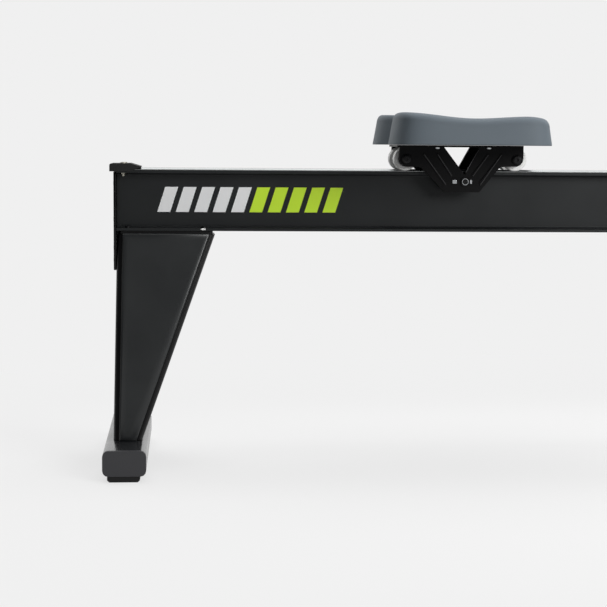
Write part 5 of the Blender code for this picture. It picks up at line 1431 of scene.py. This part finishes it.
        # The leg's darker powder is painted shade on its folds round the lighter panels.
        dress("front_leg", POWDER_BLACK_AND_SHADE, 0.4)
        LegPanels("front_leg_panel", "frame", FRONT_PLANE, -1.0, self.foot_half).build()
        dress("front_foot_bar", GLOSS_COAT, 0.3)
        dress_hands("front_foot_cap", ABS_GREY, 0.8)
        dress_hands("frame_plate", POWDER, 0.5)
        for side, hand in SIDES:
            self.caster_wheel(hand, side)
        dress("chain_cover", POWDER, 0.4)
        self.fasteners()
        self.pin_heads()


@dataclass
class FanUnit:
    """Flywheel with its blades, the slotted housing and the damper.

    Attributes:
        centre: place and height of the axle.
        outer_row: angle of the first rim screw of the outer disc, the step and the number.
        inner_row: the same of the inner disc.
        guard_rings: radii of the window guard's wires.
        screen_rows: places of the first and last wire in each row of the screen guard.
        nut: half the width over the axle nut's flats, and its two faces past the axle's end.
        washer: inner and outer radius and thickness of its washer.
        scale: angle of the scale's 1, and its sweep.
        ticks: inner and outer radius of the ticks, and half their width in degrees.
        ink: under and upper side of the print over the disc.
        knob: radius and height of the knob's profile.
    """

    centre: Pair = (0.88125, 0.6)
    inner_face: float = -0.0331
    outer_face: float = -0.1485
    boss_face: float = -0.1630
    lever_face: float = -0.1528
    shaft_end: float = 0.0416
    rim: float = 0.2520
    outer_row: tuple = (137, 23, 14)
    inner_row: tuple = (-36, 20, 10)
    guard_y: float = -0.1461
    guard_rings: tuple = (0.082, 0.098, 0.114, 0.130, 0.146, 0.162, 0.178)
    screen_ring: float = 0.2590
    screen_rows: tuple = ((-0.0500, -0.0820), (-0.1000, -0.1320))
    wires_a_row: int = 5
    wire: float = 0.0007
    nut: Spot = (0.0120, 0.0012, 0.0072)
    washer: Spot = (0.0088, 0.0142, 0.0012)
    scale: Pair = (120.0, 36.0)
    scale_radius: float = 0.2270
    digit: float = 0.0090
    ticks: Spot = (0.207, 0.215, 0.2)
    ink: Pair = (-0.0002, 0.0001)
    knob_radius: float = 0.2780
    knob: tuple = (
        (0.0, 0.0), (0.0075, 0.0), (0.0068, 0.0035), (0.0085, 0.0060), (0.0082, 0.0085), (0.0060, 0.0095),
        (0.0, 0.0098),
    )
    rim_screw: Screw = Screw(0.0034, 0.0019, hexagon(0.0013))
    boss_cap: Screw = Screw(0.0150, 0.0042, hexagon(0.0050, 36))
    boss_seat: float = 0.0003

    def spot(self, radius: float, degrees: float, y: float) -> Spot:
        """Give a point round the flywheel's axle.

        Args:
            radius: distance from the axle.
            degrees: angle from X towards Z.
            y: place along the axle.

        Returns:
            The point.
        """
        turn = math.radians(degrees)
        return (self.centre[0] + radius * math.cos(turn), y, self.centre[1] + radius * math.sin(turn))

    def guard(self, name: str, finish: Finish, rings: list[Pair]) -> None:
        """Bend wires into rings round the axle.

        Args:
            name: the piece's name.
            finish: its surface.
            rings: radius and place along the axle of each ring.
        """
        form = Form(self.spot(0.0, 0.0, 0.0))
        for radius, y in rings:
            section = [(radius + self.wire * c, self.wire * s) for c, s in unit_circle(8)]
            form.turned(section + section[:1], self.spot(0.0, 0.0, y), steps=96)
        form.piece(name, finish, "frame", smooth=60.0)

    def guards(self) -> None:
        """Lay the finger guards: rings behind the air windows and inside the slotted screen."""
        self.guard("window_guard", ZINC, [(radius, self.guard_y) for radius in self.guard_rings])
        shares = [k / (self.wires_a_row - 1) for k in range(self.wires_a_row)]
        places = [first + (last - first) * share for first, last in self.screen_rows for share in shares]
        self.guard("screen_guard", OXIDE, [(self.screen_ring, y) for y in places])

    def screws(self) -> None:
        """Add the rim screws of both discs, the boss cap and the nut on the axle."""
        for name, (first, step, count), y, way in (
            ("outer_rim_screws", self.outer_row, self.outer_face, -1),
            ("inner_rim_screws", self.inner_row, self.inner_face, 1),
        ):
            spots = [self.spot(self.rim, first + step * k, y) for k in range(count)]
            Form().heads(spots, (0, way, 0), self.rim_screw).piece(name, ZINC, "frame")
        seat = self.spot(0, 0, self.boss_face - self.boss_seat)
        Form().heads([seat], (0, -1, 0), self.boss_cap).piece("boss_cap", ABS_GREY, "frame")
        x, z = self.centre
        across, low, high = self.nut
        form = Form((x, 0.0, z))
        nut = [(x + u, z + v) for u, v in hexagon(across, 48)]
        form.prism(nut, self.shaft_end + low, self.shaft_end + high)
        inner, outer, thick = self.washer
        form.turned(ring_profile(inner, outer, 0.0, thick), (x, self.shaft_end, z))
        form.piece("axle_nut", ZINC, "fan", 0.4)

    def print_scale(self) -> None:
        """Print the damper's scale of plain numbers and tick marks."""
        form = Form()
        first, sweep = self.scale
        inner, outer, half = self.ticks
        low, high = (self.outer_face + ink for ink in self.ink)
        for number in range(1, 11):
            degrees = first - sweep * (number - 1) / 9
            corners = ((inner, -half), (outer, -half), (outer, half), (inner, half))
            tick = [self.spot(r, degrees + a, 0.0) for r, a in corners]
            form.prism([(x, z) for x, _, z in tick], low, high)
            x, _, z = self.spot(self.scale_radius, degrees, 0.0)
            turn = math.radians(degrees - 90)
            c, s = math.cos(turn), math.sin(turn)
            for outline in digit_bars(str(number), self.digit):
                form.prism([(x + u * c - v * s, z + u * s + v * c) for u, v in outline], low, high)
        form.piece("damper_scale", PRINT_WHITE, "frame")

    def damper_knob(self) -> None:
        """Turn the knob of the damper's lever."""
        seat = self.spot(self.knob_radius, self.scale[0], self.lever_face)
        form = Form(self.spot(0.0, 0.0, 0.0)).turned(list(self.knob), seat, (0, -1, 0), 32)
        form.piece("damper_knob", ABS_BLACK, "damper", 0.3)

    def build(self) -> None:
        """Dress the flywheel unit and add its guards, screws, scale and knob."""
        dress("flywheel", FAN_ALLOY)
        dress("flywheel_axle", ZINC)
        dress("axle_bearing", ZINC)
        dress("housing_inner", POWDER, 0.4)
        dress("housing_screen", POWDER)
        dress("housing_outer", ABS_BLACK, 0.5)
        dress("damper_ring", ABS_GREY, 0.5)
        dress("sprocket", ZINC, 0.2)
        dress("nose_roller", NYLON_BLACK, 0.3)
        self.guards()
        self.screws()
        self.print_scale()
        self.damper_knob()


# Bars that make up each digit, and where each bar runs in a cell one unit tall.
SEGMENTS = dict(zip("0123456789", "abcdef bc abged abgcd fgbc afgcd afgedc abc abcdefg abcdfg".split()))
SEGMENT_ENDS = {
    "a": ((0.0, 1.0), (0.5, 1.0)), "b": ((0.5, 1.0), (0.5, 0.5)), "c": ((0.5, 0.5), (0.5, 0.0)),
    "d": ((0.5, 0.0), (0.0, 0.0)), "e": ((0.0, 0.0), (0.0, 0.5)), "f": ((0.0, 0.5), (0.0, 1.0)),
    "g": ((0.0, 0.5), (0.5, 0.5)),
}
# Widths of a digit and of a dot with their gaps, the gap itself, half a bar's width, the cut of its ends
# and the place of a dot in its width, all in digit heights.
DIGIT_WIDTH = 0.80
DOT_WIDTH = 0.35
DIGIT_GAP = 0.30
BAR_HALF = 0.055
BAR_CUT = 0.02
DOT_PLACE = 0.02
# Heights of the two dots of a colon, in digit heights.
COLON_DOTS = (-0.22, 0.28)


def digit_bars(number: str, height: float) -> list[list[Pair]]:
    """Draw a plain number in bars, centred on the origin.

    Args:
        number: digits, and a colon between them.
        height: height of a digit.

    Returns:
        One six-cornered outline for each bar, and a square for each dot.
    """
    widths = [DOT_WIDTH if c == ":" else DIGIT_WIDTH for c in number]
    place = -(sum(widths) - DIGIT_GAP) / 2
    half, short = BAR_HALF * height, BAR_CUT * height
    bars = []
    for letter, width in zip(number, widths):
        for level in COLON_DOTS if letter == ":" else ():
            x, y = (place + DOT_PLACE) * height, level * height
            corners = ((-half, -half), (half, -half), (half, half), (-half, half))
            bars.append([(x + u, y + v) for u, v in corners])
        for name in SEGMENTS.get(letter, ""):
            ends = [Vector(((place + x) * height, (y - 0.5) * height)) for x, y in SEGMENT_ENDS[name]]
            way = (ends[1] - ends[0]).normalized()
            over = Vector((-way.y, way.x)) * half
            first, last = ends[0] + way * short, ends[1] - way * short
            inner = (first + way * half, last - way * half)
            corners = (first, inner[0] + over, inner[1] + over, last, inner[1] - over, inner[0] - over)
            bars.append([tuple(p) for p in corners])
        place += width
    return bars


@dataclass
class HandleUnit:
    """Pull handle, its grips and the chain.

    Attributes:
        centre: middle of the handle.
        near_end: how far each ring of a grip's inner end draws in, and its place.
        far_end: the same of its outer end, counted from the tip.
        ridges: distances of the first and last groove from a grip's ends.
        groove: profile of a groove, as depth and place.
        chain: corners of the chain's middle line, as place and height.
        plate: half the height of a link at its pins and at its waist.
        plates: inner face of the inner and of the outer plates, and their thickness.
        chain_pin: radius and half length of a pin, and half the length between its rounded ends.
        chain_roller: inner and outer radius of a roller, and half its width.
        screws_at: place of the yoke's screws from the handle's middle, along, across and up.
    """

    centre: Spot = (0.37625, 0.0, 0.6600)
    rake: float = 10.0
    grip_start: float = 0.0450
    grip_end: float = 0.23863
    grip: float = 0.0160
    bore: float = 0.0113
    end_cap: float = 0.0037
    ridge: float = 0.0100
    near_end: tuple = ((0.0016, 0.0), (0.0004, 0.0010), (0.0, 0.0030))
    far_end: tuple = ((0.0, 0.0070), (0.0008, 0.0030), (0.0035, 0.0004))
    tip: float = 0.0060
    ridges: Pair = (0.0120, 0.0160)
    groove: tuple = ((0.0, 0.0), (0.0007, 0.0008), (0.0007, 0.0024), (0.0, 0.0032))
    chain: tuple = ((0.4068, 0.6600), (0.7400, 0.6600), (0.8503, 0.6307))
    pitch: float = 0.0127
    plate: Pair = (0.0042, 0.0029)
    plates: Spot = (0.0021, 0.0033, 0.0010)
    chain_pin: Spot = (0.0017, 0.0048, 0.0045)
    chain_roller: Spot = (0.0018, 0.0038, 0.0020)
    screws_at: Spot = (-0.0010, 0.0180, 0.0140)
    yoke_screw: Screw = Screw(0.0040, 0.0022, hexagon(0.0016))

    def sleeve(self, hand: str, side: int) -> None:
        """Mould one ribbed grip over its raked rod.

        Args:
            hand: left or right.
            side: sign of the side.
        """
        r, start, end = self.grip, self.grip_start, self.grip_end
        profile = [(self.bore, start)] + [(r - inset, start + along) for inset, along in self.near_end]
        place = start + self.ridges[0]
        while place < end - self.ridges[1]:
            profile += [(r - depth, place + along) for depth, along in self.groove]
            place += self.ridge
        profile += [(r - inset, end - along) for inset, along in self.far_end] + [(self.tip, end)]
        inside = end - self.end_cap
        profile += [(0, end), (0, inside), (self.bore, inside), (self.bore, start)]
        form = Form(self.centre).turned(mirrored(profile, side), self.centre)
        form.moved(Matrix.Rotation(math.radians(self.rake) * side, 4, "Z"))
        made = form.piece(f"grip_sleeve_{hand}", GRIP_FOAM, "handle", smooth=50.0)
        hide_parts(f"handle_grip_{hand}")

    def along_chain(self, distance: float) -> Vector:
        """Give the place on the chain, in X and Z, at a distance from the handle's end."""
        corners = [Vector(c) for c in self.chain]
        for one, two in zip(corners, corners[1:]):
            way = two - one
            if distance <= way.length or two == corners[-1]:
                break
            distance -= way.length
        return one + way.normalized() * distance

    def plate_outline(self, start: Vector, end: Vector) -> list[Pair]:
        """Draw a link plate with round ends and a waist.

        Args:
            start: middle of one pin.
            end: middle of the other.

        Returns:
            The outline.
        """
        way = (end - start).normalized()
        over = Vector((-way.y, way.x))
        round_end, waist = self.plate
        outline = []
        for spot, turn, sign in ((end, -90, 1), (start, 90, -1)):
            for step in range(7):
                angle = math.radians(turn + 30 * step)
                outline.append(spot + (way * math.cos(angle) + over * math.sin(angle)) * round_end)
            outline.append((start + end) / 2 + over * waist * sign)
        return [tuple(p) for p in outline]

    def links(self) -> None:
        """Make the roller chain: inner and outer plates in turn, with a roller and a pin at each joint."""
        reach = sum((Vector(b) - Vector(a)).length for a, b in zip(self.chain, self.chain[1:]))
        joints = [self.along_chain(k * self.pitch) for k in range(int(reach / self.pitch) + 1)]
        plates, pins = Form(), Form()
        inner, outer, thick = self.plates
        for k, (start, end) in enumerate(zip(joints, joints[1:])):
            outline = self.plate_outline(start, end)
            low = outer if k % 2 else inner
            for side in (1, -1):
                plates.prism(outline, side * low, side * (low + thick))
        radius, tip, half = self.chain_pin
        pin = [(0, -tip), (radius, -half), (radius, half), (0, tip)]
        bore, rim, wide = self.chain_roller
        roller = [(bore, -wide), (rim, -wide), (rim, wide), (bore, wide)]
        for x, z in joints:
            pins.turned(pin, (x, 0.0, z), steps=12)
            pins.turned(roller, (x, 0.0, z), steps=16)
        start, end = self.chain[-1], self.chain[0]
        for form, name, finish in ((plates, "chain_plates", NICKEL), (pins, "chain_rollers", OXIDE)):
            made = form.piece(name, finish, "")
            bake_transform(made)
            if form is plates:
                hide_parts("chain_run")

    def build(self) -> None:
        """Dress the handle, and make its grips and the chain."""
        dress("handle_bar", ABS_BLACK, 0.8)
        for side, hand in SIDES:
            self.sleeve(hand, side)
        self.links()
        along, across, up = self.screws_at
        spots = [(self.centre[0] + along, y, self.centre[2] + up) for y in (-across, across)]
        Form().heads(spots, UP, self.yoke_screw).piece("yoke_screws", OXIDE, "handle")


@dataclass
class Footrests:
    """Footboards, heel cups, straps and the bracket that carries them.

    Attributes:
        heel: lower end of the left board.
        strap_at: edges of the strap along the board.
        buckle: outline of the buckle, along the webbing and off it.
        tail: step of the loose end in degrees, its first lift off the strap, and the growth of each step.
        tail_drops: how far each point of the hanging end lies from the last one, across and up.
        screw_rows: places of a board's screws along it.
        screw_across: their distances from its middle.
        bars: start of the first bar on a heel cup, their pitch and their width.
        bar_skin: their under and upper side.
        plug_box: lowest and highest X and Z of the plugs in the cross tube.
        plug_ends: distances of a plug's faces from the middle.
        bolts_at: place of the bracket's bolts, their distance from the middle and their height.
    """

    heel: Spot = (0.21625, 0.1200, 0.3750)
    pitch: float = 42.0
    strap_at: Pair = (0.2002, 0.2348)
    strap_half: float = 0.0530
    strap_top: float = 0.0740
    strap_straight: float = 0.0200
    strap_low: float = -0.0158
    strap_thick: float = 0.0018
    strap_edge: float = 0.45
    arch_steps: int = 32
    buckle_turn: float = 38.0
    buckle: tuple = (
        (-0.0125, 0.0011), (0.0125, 0.0011), (0.0125, 0.0034), (0.0060, 0.0072), (-0.0080, 0.0072),
        (-0.0125, 0.0040),
    )
    buckle_over: float = 0.0022
    tail: Spot = (6.0, 0.0024, 0.0005)
    tail_steps: int = 7
    tail_drops: tuple = ((0.0020, -0.0120), (0.0050, -0.0220))
    screw_rows: Pair = (0.1600, 0.1850)
    screw_across: Pair = (-0.0200, 0.0200)
    bars: Spot = (0.0400, 0.0120, 0.0050)
    bar_half: float = 0.0280
    bar_skin: Pair = (0.0042, 0.0052)
    bar_count: int = 5
    plug_box: tuple = ((0.3247, 0.3478), (0.4247, 0.4479))
    plug_ends: Pair = (0.1652, 0.1684)
    bolts_at: Spot = (0.33625, 0.0140, 0.4483)
    board_screw: Screw = Screw(0.0040, 0.0010, cross(0.0020, 0.0006))
    bracket_bolt: Screw = Screw(0.0065, 0.0040, hexagon(0.0026))

    def board(self, side: int) -> Matrix:
        """Give the matrix from along, across and above a board to the world."""
        x, y, z = self.heel
        return Matrix.Translation((x, side * y, z)) @ Matrix.Rotation(-math.radians(self.pitch), 4, "Y")

    def arch(self, degrees: float, lift: float = 0.0) -> Pair:
        """Give a point on the strap's arch.

        Args:
            degrees: angle from the board's outer side.
            lift: distance off the strap's middle.

        Returns:
            Distance across and above the board.
        """
        turn = math.radians(degrees)
        rise = self.strap_top - self.strap_straight
        return (self.strap_half + lift) * math.cos(turn), self.strap_straight + (rise + lift) * math.sin(turn)

    def band(self, path: list[Pair], side: int) -> Form:
        """Lay webbing along a path.

        Args:
            path: points across and above the board.
            side: sign of the side.

        Returns:
            The form of the webbing on its board.
        """
        thick = self.strap_thick
        section = rounded_outline(self.strap_at, (-thick / 2, thick / 2), thick * self.strap_edge, 2)
        rings = []
        for i, spot in enumerate(path):
            before, after = Vector(path[max(i - 1, 0)]), Vector(path[min(i + 1, len(path) - 1)])
            way = (after - before).normalized()
            over = Vector((way.y, -way.x))
            rings.append([(along, spot[0] + over.x * off, spot[1] + over.y * off) for along, off in section])
        return Form().skin(rings).moved(self.board(side))

    def strap(self, hand: str, side: int) -> None:
        """Weave the strap over the foot, with its cam buckle and loose tail.

        Args:
            hand: left or right.
            side: sign of the side.
        """
        arch = [self.arch(180 * i / self.arch_steps) for i in range(self.arch_steps + 1)]
        out = [(side * a, b) for a, b in arch]
        first, last = out[0][0], out[-1][0]
        path = [(first, self.strap_low), (first, 0.0)] + out + [(last, 0.0), (last, self.strap_low)]
        made = self.band(path, side).piece(f"strap_webbing_{hand}", WEBBING, "frame", smooth=50.0)
        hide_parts(f"foot_strap_{hand}")
        step, off, growth = self.tail
        tail = [self.arch(self.buckle_turn - step * i, off + growth * i) for i in range(self.tail_steps)]
        end = tail[-1]
        tail += [(end[0] + across, end[1] + up) for across, up in self.tail_drops]
        form = self.band([(side * a, b) for a, b in tail], side)
        form.piece(f"strap_tail_{hand}", WEBBING, "frame", smooth=50.0)
        spot = Vector(self.arch(self.buckle_turn))
        way = (Vector(self.arch(self.buckle_turn + 2)) - spot).normalized()
        over = Vector((way.y, -way.x))
        shape = [spot + way * u + over * v for u, v in self.buckle]
        low, high = self.strap_at[0] - self.buckle_over, self.strap_at[1] + self.buckle_over
        form = Form().prism([(side * p.x, p.y) for p in shape], low, high, "X").moved(self.board(side))
        form.piece(f"strap_buckle_{hand}", ABS_GREY, "frame", 0.8)

    def small_pieces(self, hand: str, side: int) -> None:
        """Add a board's screws and the anti-slip bars of its heel cup.

        Args:
            hand: left or right.
            side: sign of the side.
        """
        spots = [(along, across, 0.0) for along in self.screw_rows for across in self.screw_across]
        form = Form().heads(spots, UP, self.board_screw).moved(self.board(side))
        form.piece(f"footboard_screws_{hand}", ZINC, "frame")
        form = Form()
        first, pitch, width = self.bars
        for k in range(self.bar_count):
            start = first + pitch * k
            outline = rounded_outline((start, start + width), (-self.bar_half, self.bar_half), 0.0022, 3)
            form.prism(outline, *self.bar_skin, "Z")
        form.moved(self.board(side)).piece(f"heel_cup_bars_{hand}", RUBBER, f"{hand}_heel", 0.2)

    def bracket(self) -> None:
        """Add the end plugs and bolts of the cross tube."""
        outline = rounded_outline(*self.plug_box, 0.0030, 3)
        for side, hand in SIDES:
            form = Form().prism(outline, *(side * end for end in self.plug_ends))
            form.piece(f"cross_tube_plug_{hand}", ABS_BLACK, "frame", 0.8)
        x, across, z = self.bolts_at
        spots = [(x, y, z) for y in (-across, across)]
        Form().heads(spots, UP, self.bracket_bolt).piece("bracket_bolts", OXIDE, "frame")

    def build(self) -> None:
        """Dress the footrests, and make the straps and small pieces."""
        dress("footboard_bracket", POWDER, 0.4)
        self.bracket()
        dress_hands("footboard", ABS_BLACK, 0.8)
        dress_hands("heel_cup", ABS_GREY, 0.8)
        for side, hand in SIDES:
            self.strap(hand, side)
            self.small_pieces(hand, side)


@dataclass
class MonitorUnit:
    """Monitor on its arm, with its pane, plain read-outs, buttons and knobs.

    Attributes:
        head: middle of the joint at the arm's top, where the monitor's own axes start.
        ink: under and upper side of a print over its face.
        rows: each number on the pane, with its place across and up and its height.
        rules: ends across and up of each thin line on the pane.
        bezel_rings: how far each ring of the pane's rim lies outside the pane, and off the case's face.
        pane_box: lowest and highest place of the pane across and up.
        signs: button, place across and direction of each triangle.
        triangle: half its width, and the distance of its base and its point from the middle.
        ring: inner and outer radius and height of the round sign.
        screw_corners: places of the case's screws across, and up.
        lug: the star knob's seat.
        knob: the star knob's radius, the share by which its lobes stand out, and their number.
        knob_rings: share of the radius and height of each of its rings.
    """

    head: Spot = (0.39125, 0.0, 1.0800)
    tilt: float = 10.0
    face: float = -0.0550
    pane: float = -0.0545
    back: float = -0.0120
    button_face: float = -0.0565
    ink: Pair = (-0.0002, 0.0001)
    rows: tuple = (
        ("5:00", 0.0, 0.0450, 0.0180), ("1000", 0.0320, 0.0200, 0.0130),
        ("2:10", -0.0320, 0.0200, 0.0130), ("24", 0.0320, -0.0050, 0.0130),
        ("120", -0.0320, -0.0050, 0.0130),
    )
    rules: tuple = (
        ((-0.0600, 0.0600), (0.0310, 0.0314)), ((-0.0600, 0.0600), (0.0084, 0.0088)),
        ((-0.0002, 0.0002), (-0.0140, 0.0290)),
    )
    bezel_rings: tuple = ((0.0, 0.0001), (0.0, 0.0007), (0.0028, 0.0010), (0.0052, 0.0001))
    pane_box: tuple = ((-0.0665, 0.0665), (-0.0205, 0.0625))
    pane_corner: float = 0.0030
    button_z: float = -0.0480
    signs: tuple = ((1, 0.0420, 1), (3, -0.0420, -1))
    triangle: Spot = (0.0035, 0.0025, 0.0030)
    ring: Spot = (0.0022, 0.0032, 0.0003)
    screw_corners: tuple = ((-0.0740, 0.0740), (-0.0620, 0.0670))
    head_end: float = 0.0243
    lug: Spot = (0.65125, 0.0331, 0.7180)
    knob: tuple = (0.0170, 0.09, 5)
    knob_rings: tuple = (
        (0.60, 0.0), (0.60, 0.0040), (0.96, 0.0060), (1.0, 0.0080), (1.0, 0.0150), (0.92, 0.0175),
        (0.5, 0.0185),
    )
    knob_top: float = 0.0186
    case_screw: Screw = Screw(0.0032, 0.0018, cross(0.0018, 0.0006))
    head_screw: Screw = Screw(0.0085, 0.0050, hexagon(0.0030))

    def place(self) -> Matrix:
        """Give the matrix from the monitor's own axes to the world."""
        return Matrix.Translation(self.head) @ Matrix.Rotation(math.radians(self.tilt), 4, "Y")

    def read_outs(self) -> None:
        """Set plain numbers on the pane, with thin rules between the rows."""
        form = Form()
        low, high = (self.pane + ink for ink in self.ink)
        for number, left, level, height in self.rows:
            for outline in digit_bars(number, height):
                form.prism([(left - u, level + v) for u, v in outline], low, high, "X")
        for (left, right), (under, over) in self.rules:
            form.prism([(left, under), (right, under), (right, over), (left, over)], low, high, "X")
        form.moved(self.place()).piece("monitor_read_outs", LCD_INK, "monitor")

    def bezel(self) -> None:
        """Frame the pane with a raised rim."""
        rings = []
        for reach, lift in self.bezel_rings:
            ys, zs = ((low - reach, high + reach) for low, high in self.pane_box)
            outline = rounded_outline(ys, zs, self.pane_corner + reach)
            rings.append([(self.face - lift, y, z) for y, z in outline])
        form = Form().skin(rings + rings[:1], capped=False)
        form.moved(self.place()).piece("monitor_bezel", ABS_GREY, "monitor")

    def marks(self) -> None:
        """Print a plain sign on each button: two triangles and a ring."""
        low, high = (self.button_face + ink for ink in self.ink)
        half, base, tip = self.triangle
        for number, middle, way in self.signs:
            foot = self.button_z - way * base
            outline = [(middle - half, foot), (middle + half, foot), (middle, self.button_z + way * tip)]
            form = Form().prism(outline, low, high, "X").moved(self.place())
            form.piece(f"button_sign_{number}", PRINT_WHITE, f"button_{number}")
        inner, outer, thick = self.ring
        ring = ring_profile(inner, outer, 0.0, thick)
        form = Form().turned(ring, (high, 0.0, self.button_z), (-1, 0, 0), 32).moved(self.place())
        form.piece("button_sign_2", PRINT_WHITE, "button_2")

    def screws(self) -> None:
        """Add the case's screws and the thumb screws of the head."""
        ys, zs = self.screw_corners
        form = Form().heads([(self.back, y, z) for y in ys for z in zs], (1, 0, 0), self.case_screw)
        form.moved(self.place()).piece("case_screws", ZINC, "monitor")
        x, _, z = self.head
        form = Form((x, 0.0, z))
        for side, _ in SIDES:
            form.heads([(x, side * self.head_end, z)], (0, side, 0), self.head_screw)
        form.piece("head_screws", ABS_BLACK, "arm")

    def star_knob(self) -> None:
        """Mould the lobed knob that clamps the arm."""
        x, y, z = self.lug
        size, swell, lobes = self.knob
        rings = []
        for reach, height in self.knob_rings:
            ring = []
            for i in range(60):
                turn = math.tau * i / 60
                radius = size * reach * (1 + swell * math.cos(lobes * turn))
                ring.append((x + radius * math.cos(turn), y + height, z + radius * math.sin(turn)))
            rings.append(ring)
        rings.append([(x, y + self.knob_top, z)])
        Form((x, 0.0, z)).skin(rings).piece("arm_knob", ABS_BLACK, "arm")

    def build(self) -> None:
        """Dress the monitor and add its pane's numbers, rim, signs and knobs."""
        dress("monitor_arm", ABS_BLACK, 1.2)
        dress("monitor_case", ABS_BLACK, 0.8)
        dress("monitor_screen", LCD)
        for number in (1, 2, 3):
            dress(f"monitor_button_{number}", SILICONE, 0.5)
        self.read_outs()
        self.bezel()
        self.marks()
        self.screws()
        self.star_knob()


def main() -> None:
    """Clear the scene, load the frame and build each sub-assembly in order."""
    logging.basicConfig(level=logging.INFO, format="%(message)s", stream=sys.stdout)
    for obj in list(bpy.data.objects):
        bpy.data.objects.remove(obj, do_unlink=True)
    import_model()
    for part in (
        Studio(),
        RailUnit(),
        RearSupport(),
        Seat(),
        Carriage(),
        FrontFrame(),
        FanUnit(),
        HandleUnit(),
        Footrests(),
        MonitorUnit(),
    ):
        part.build()


if __name__ == "__main__":
    main()
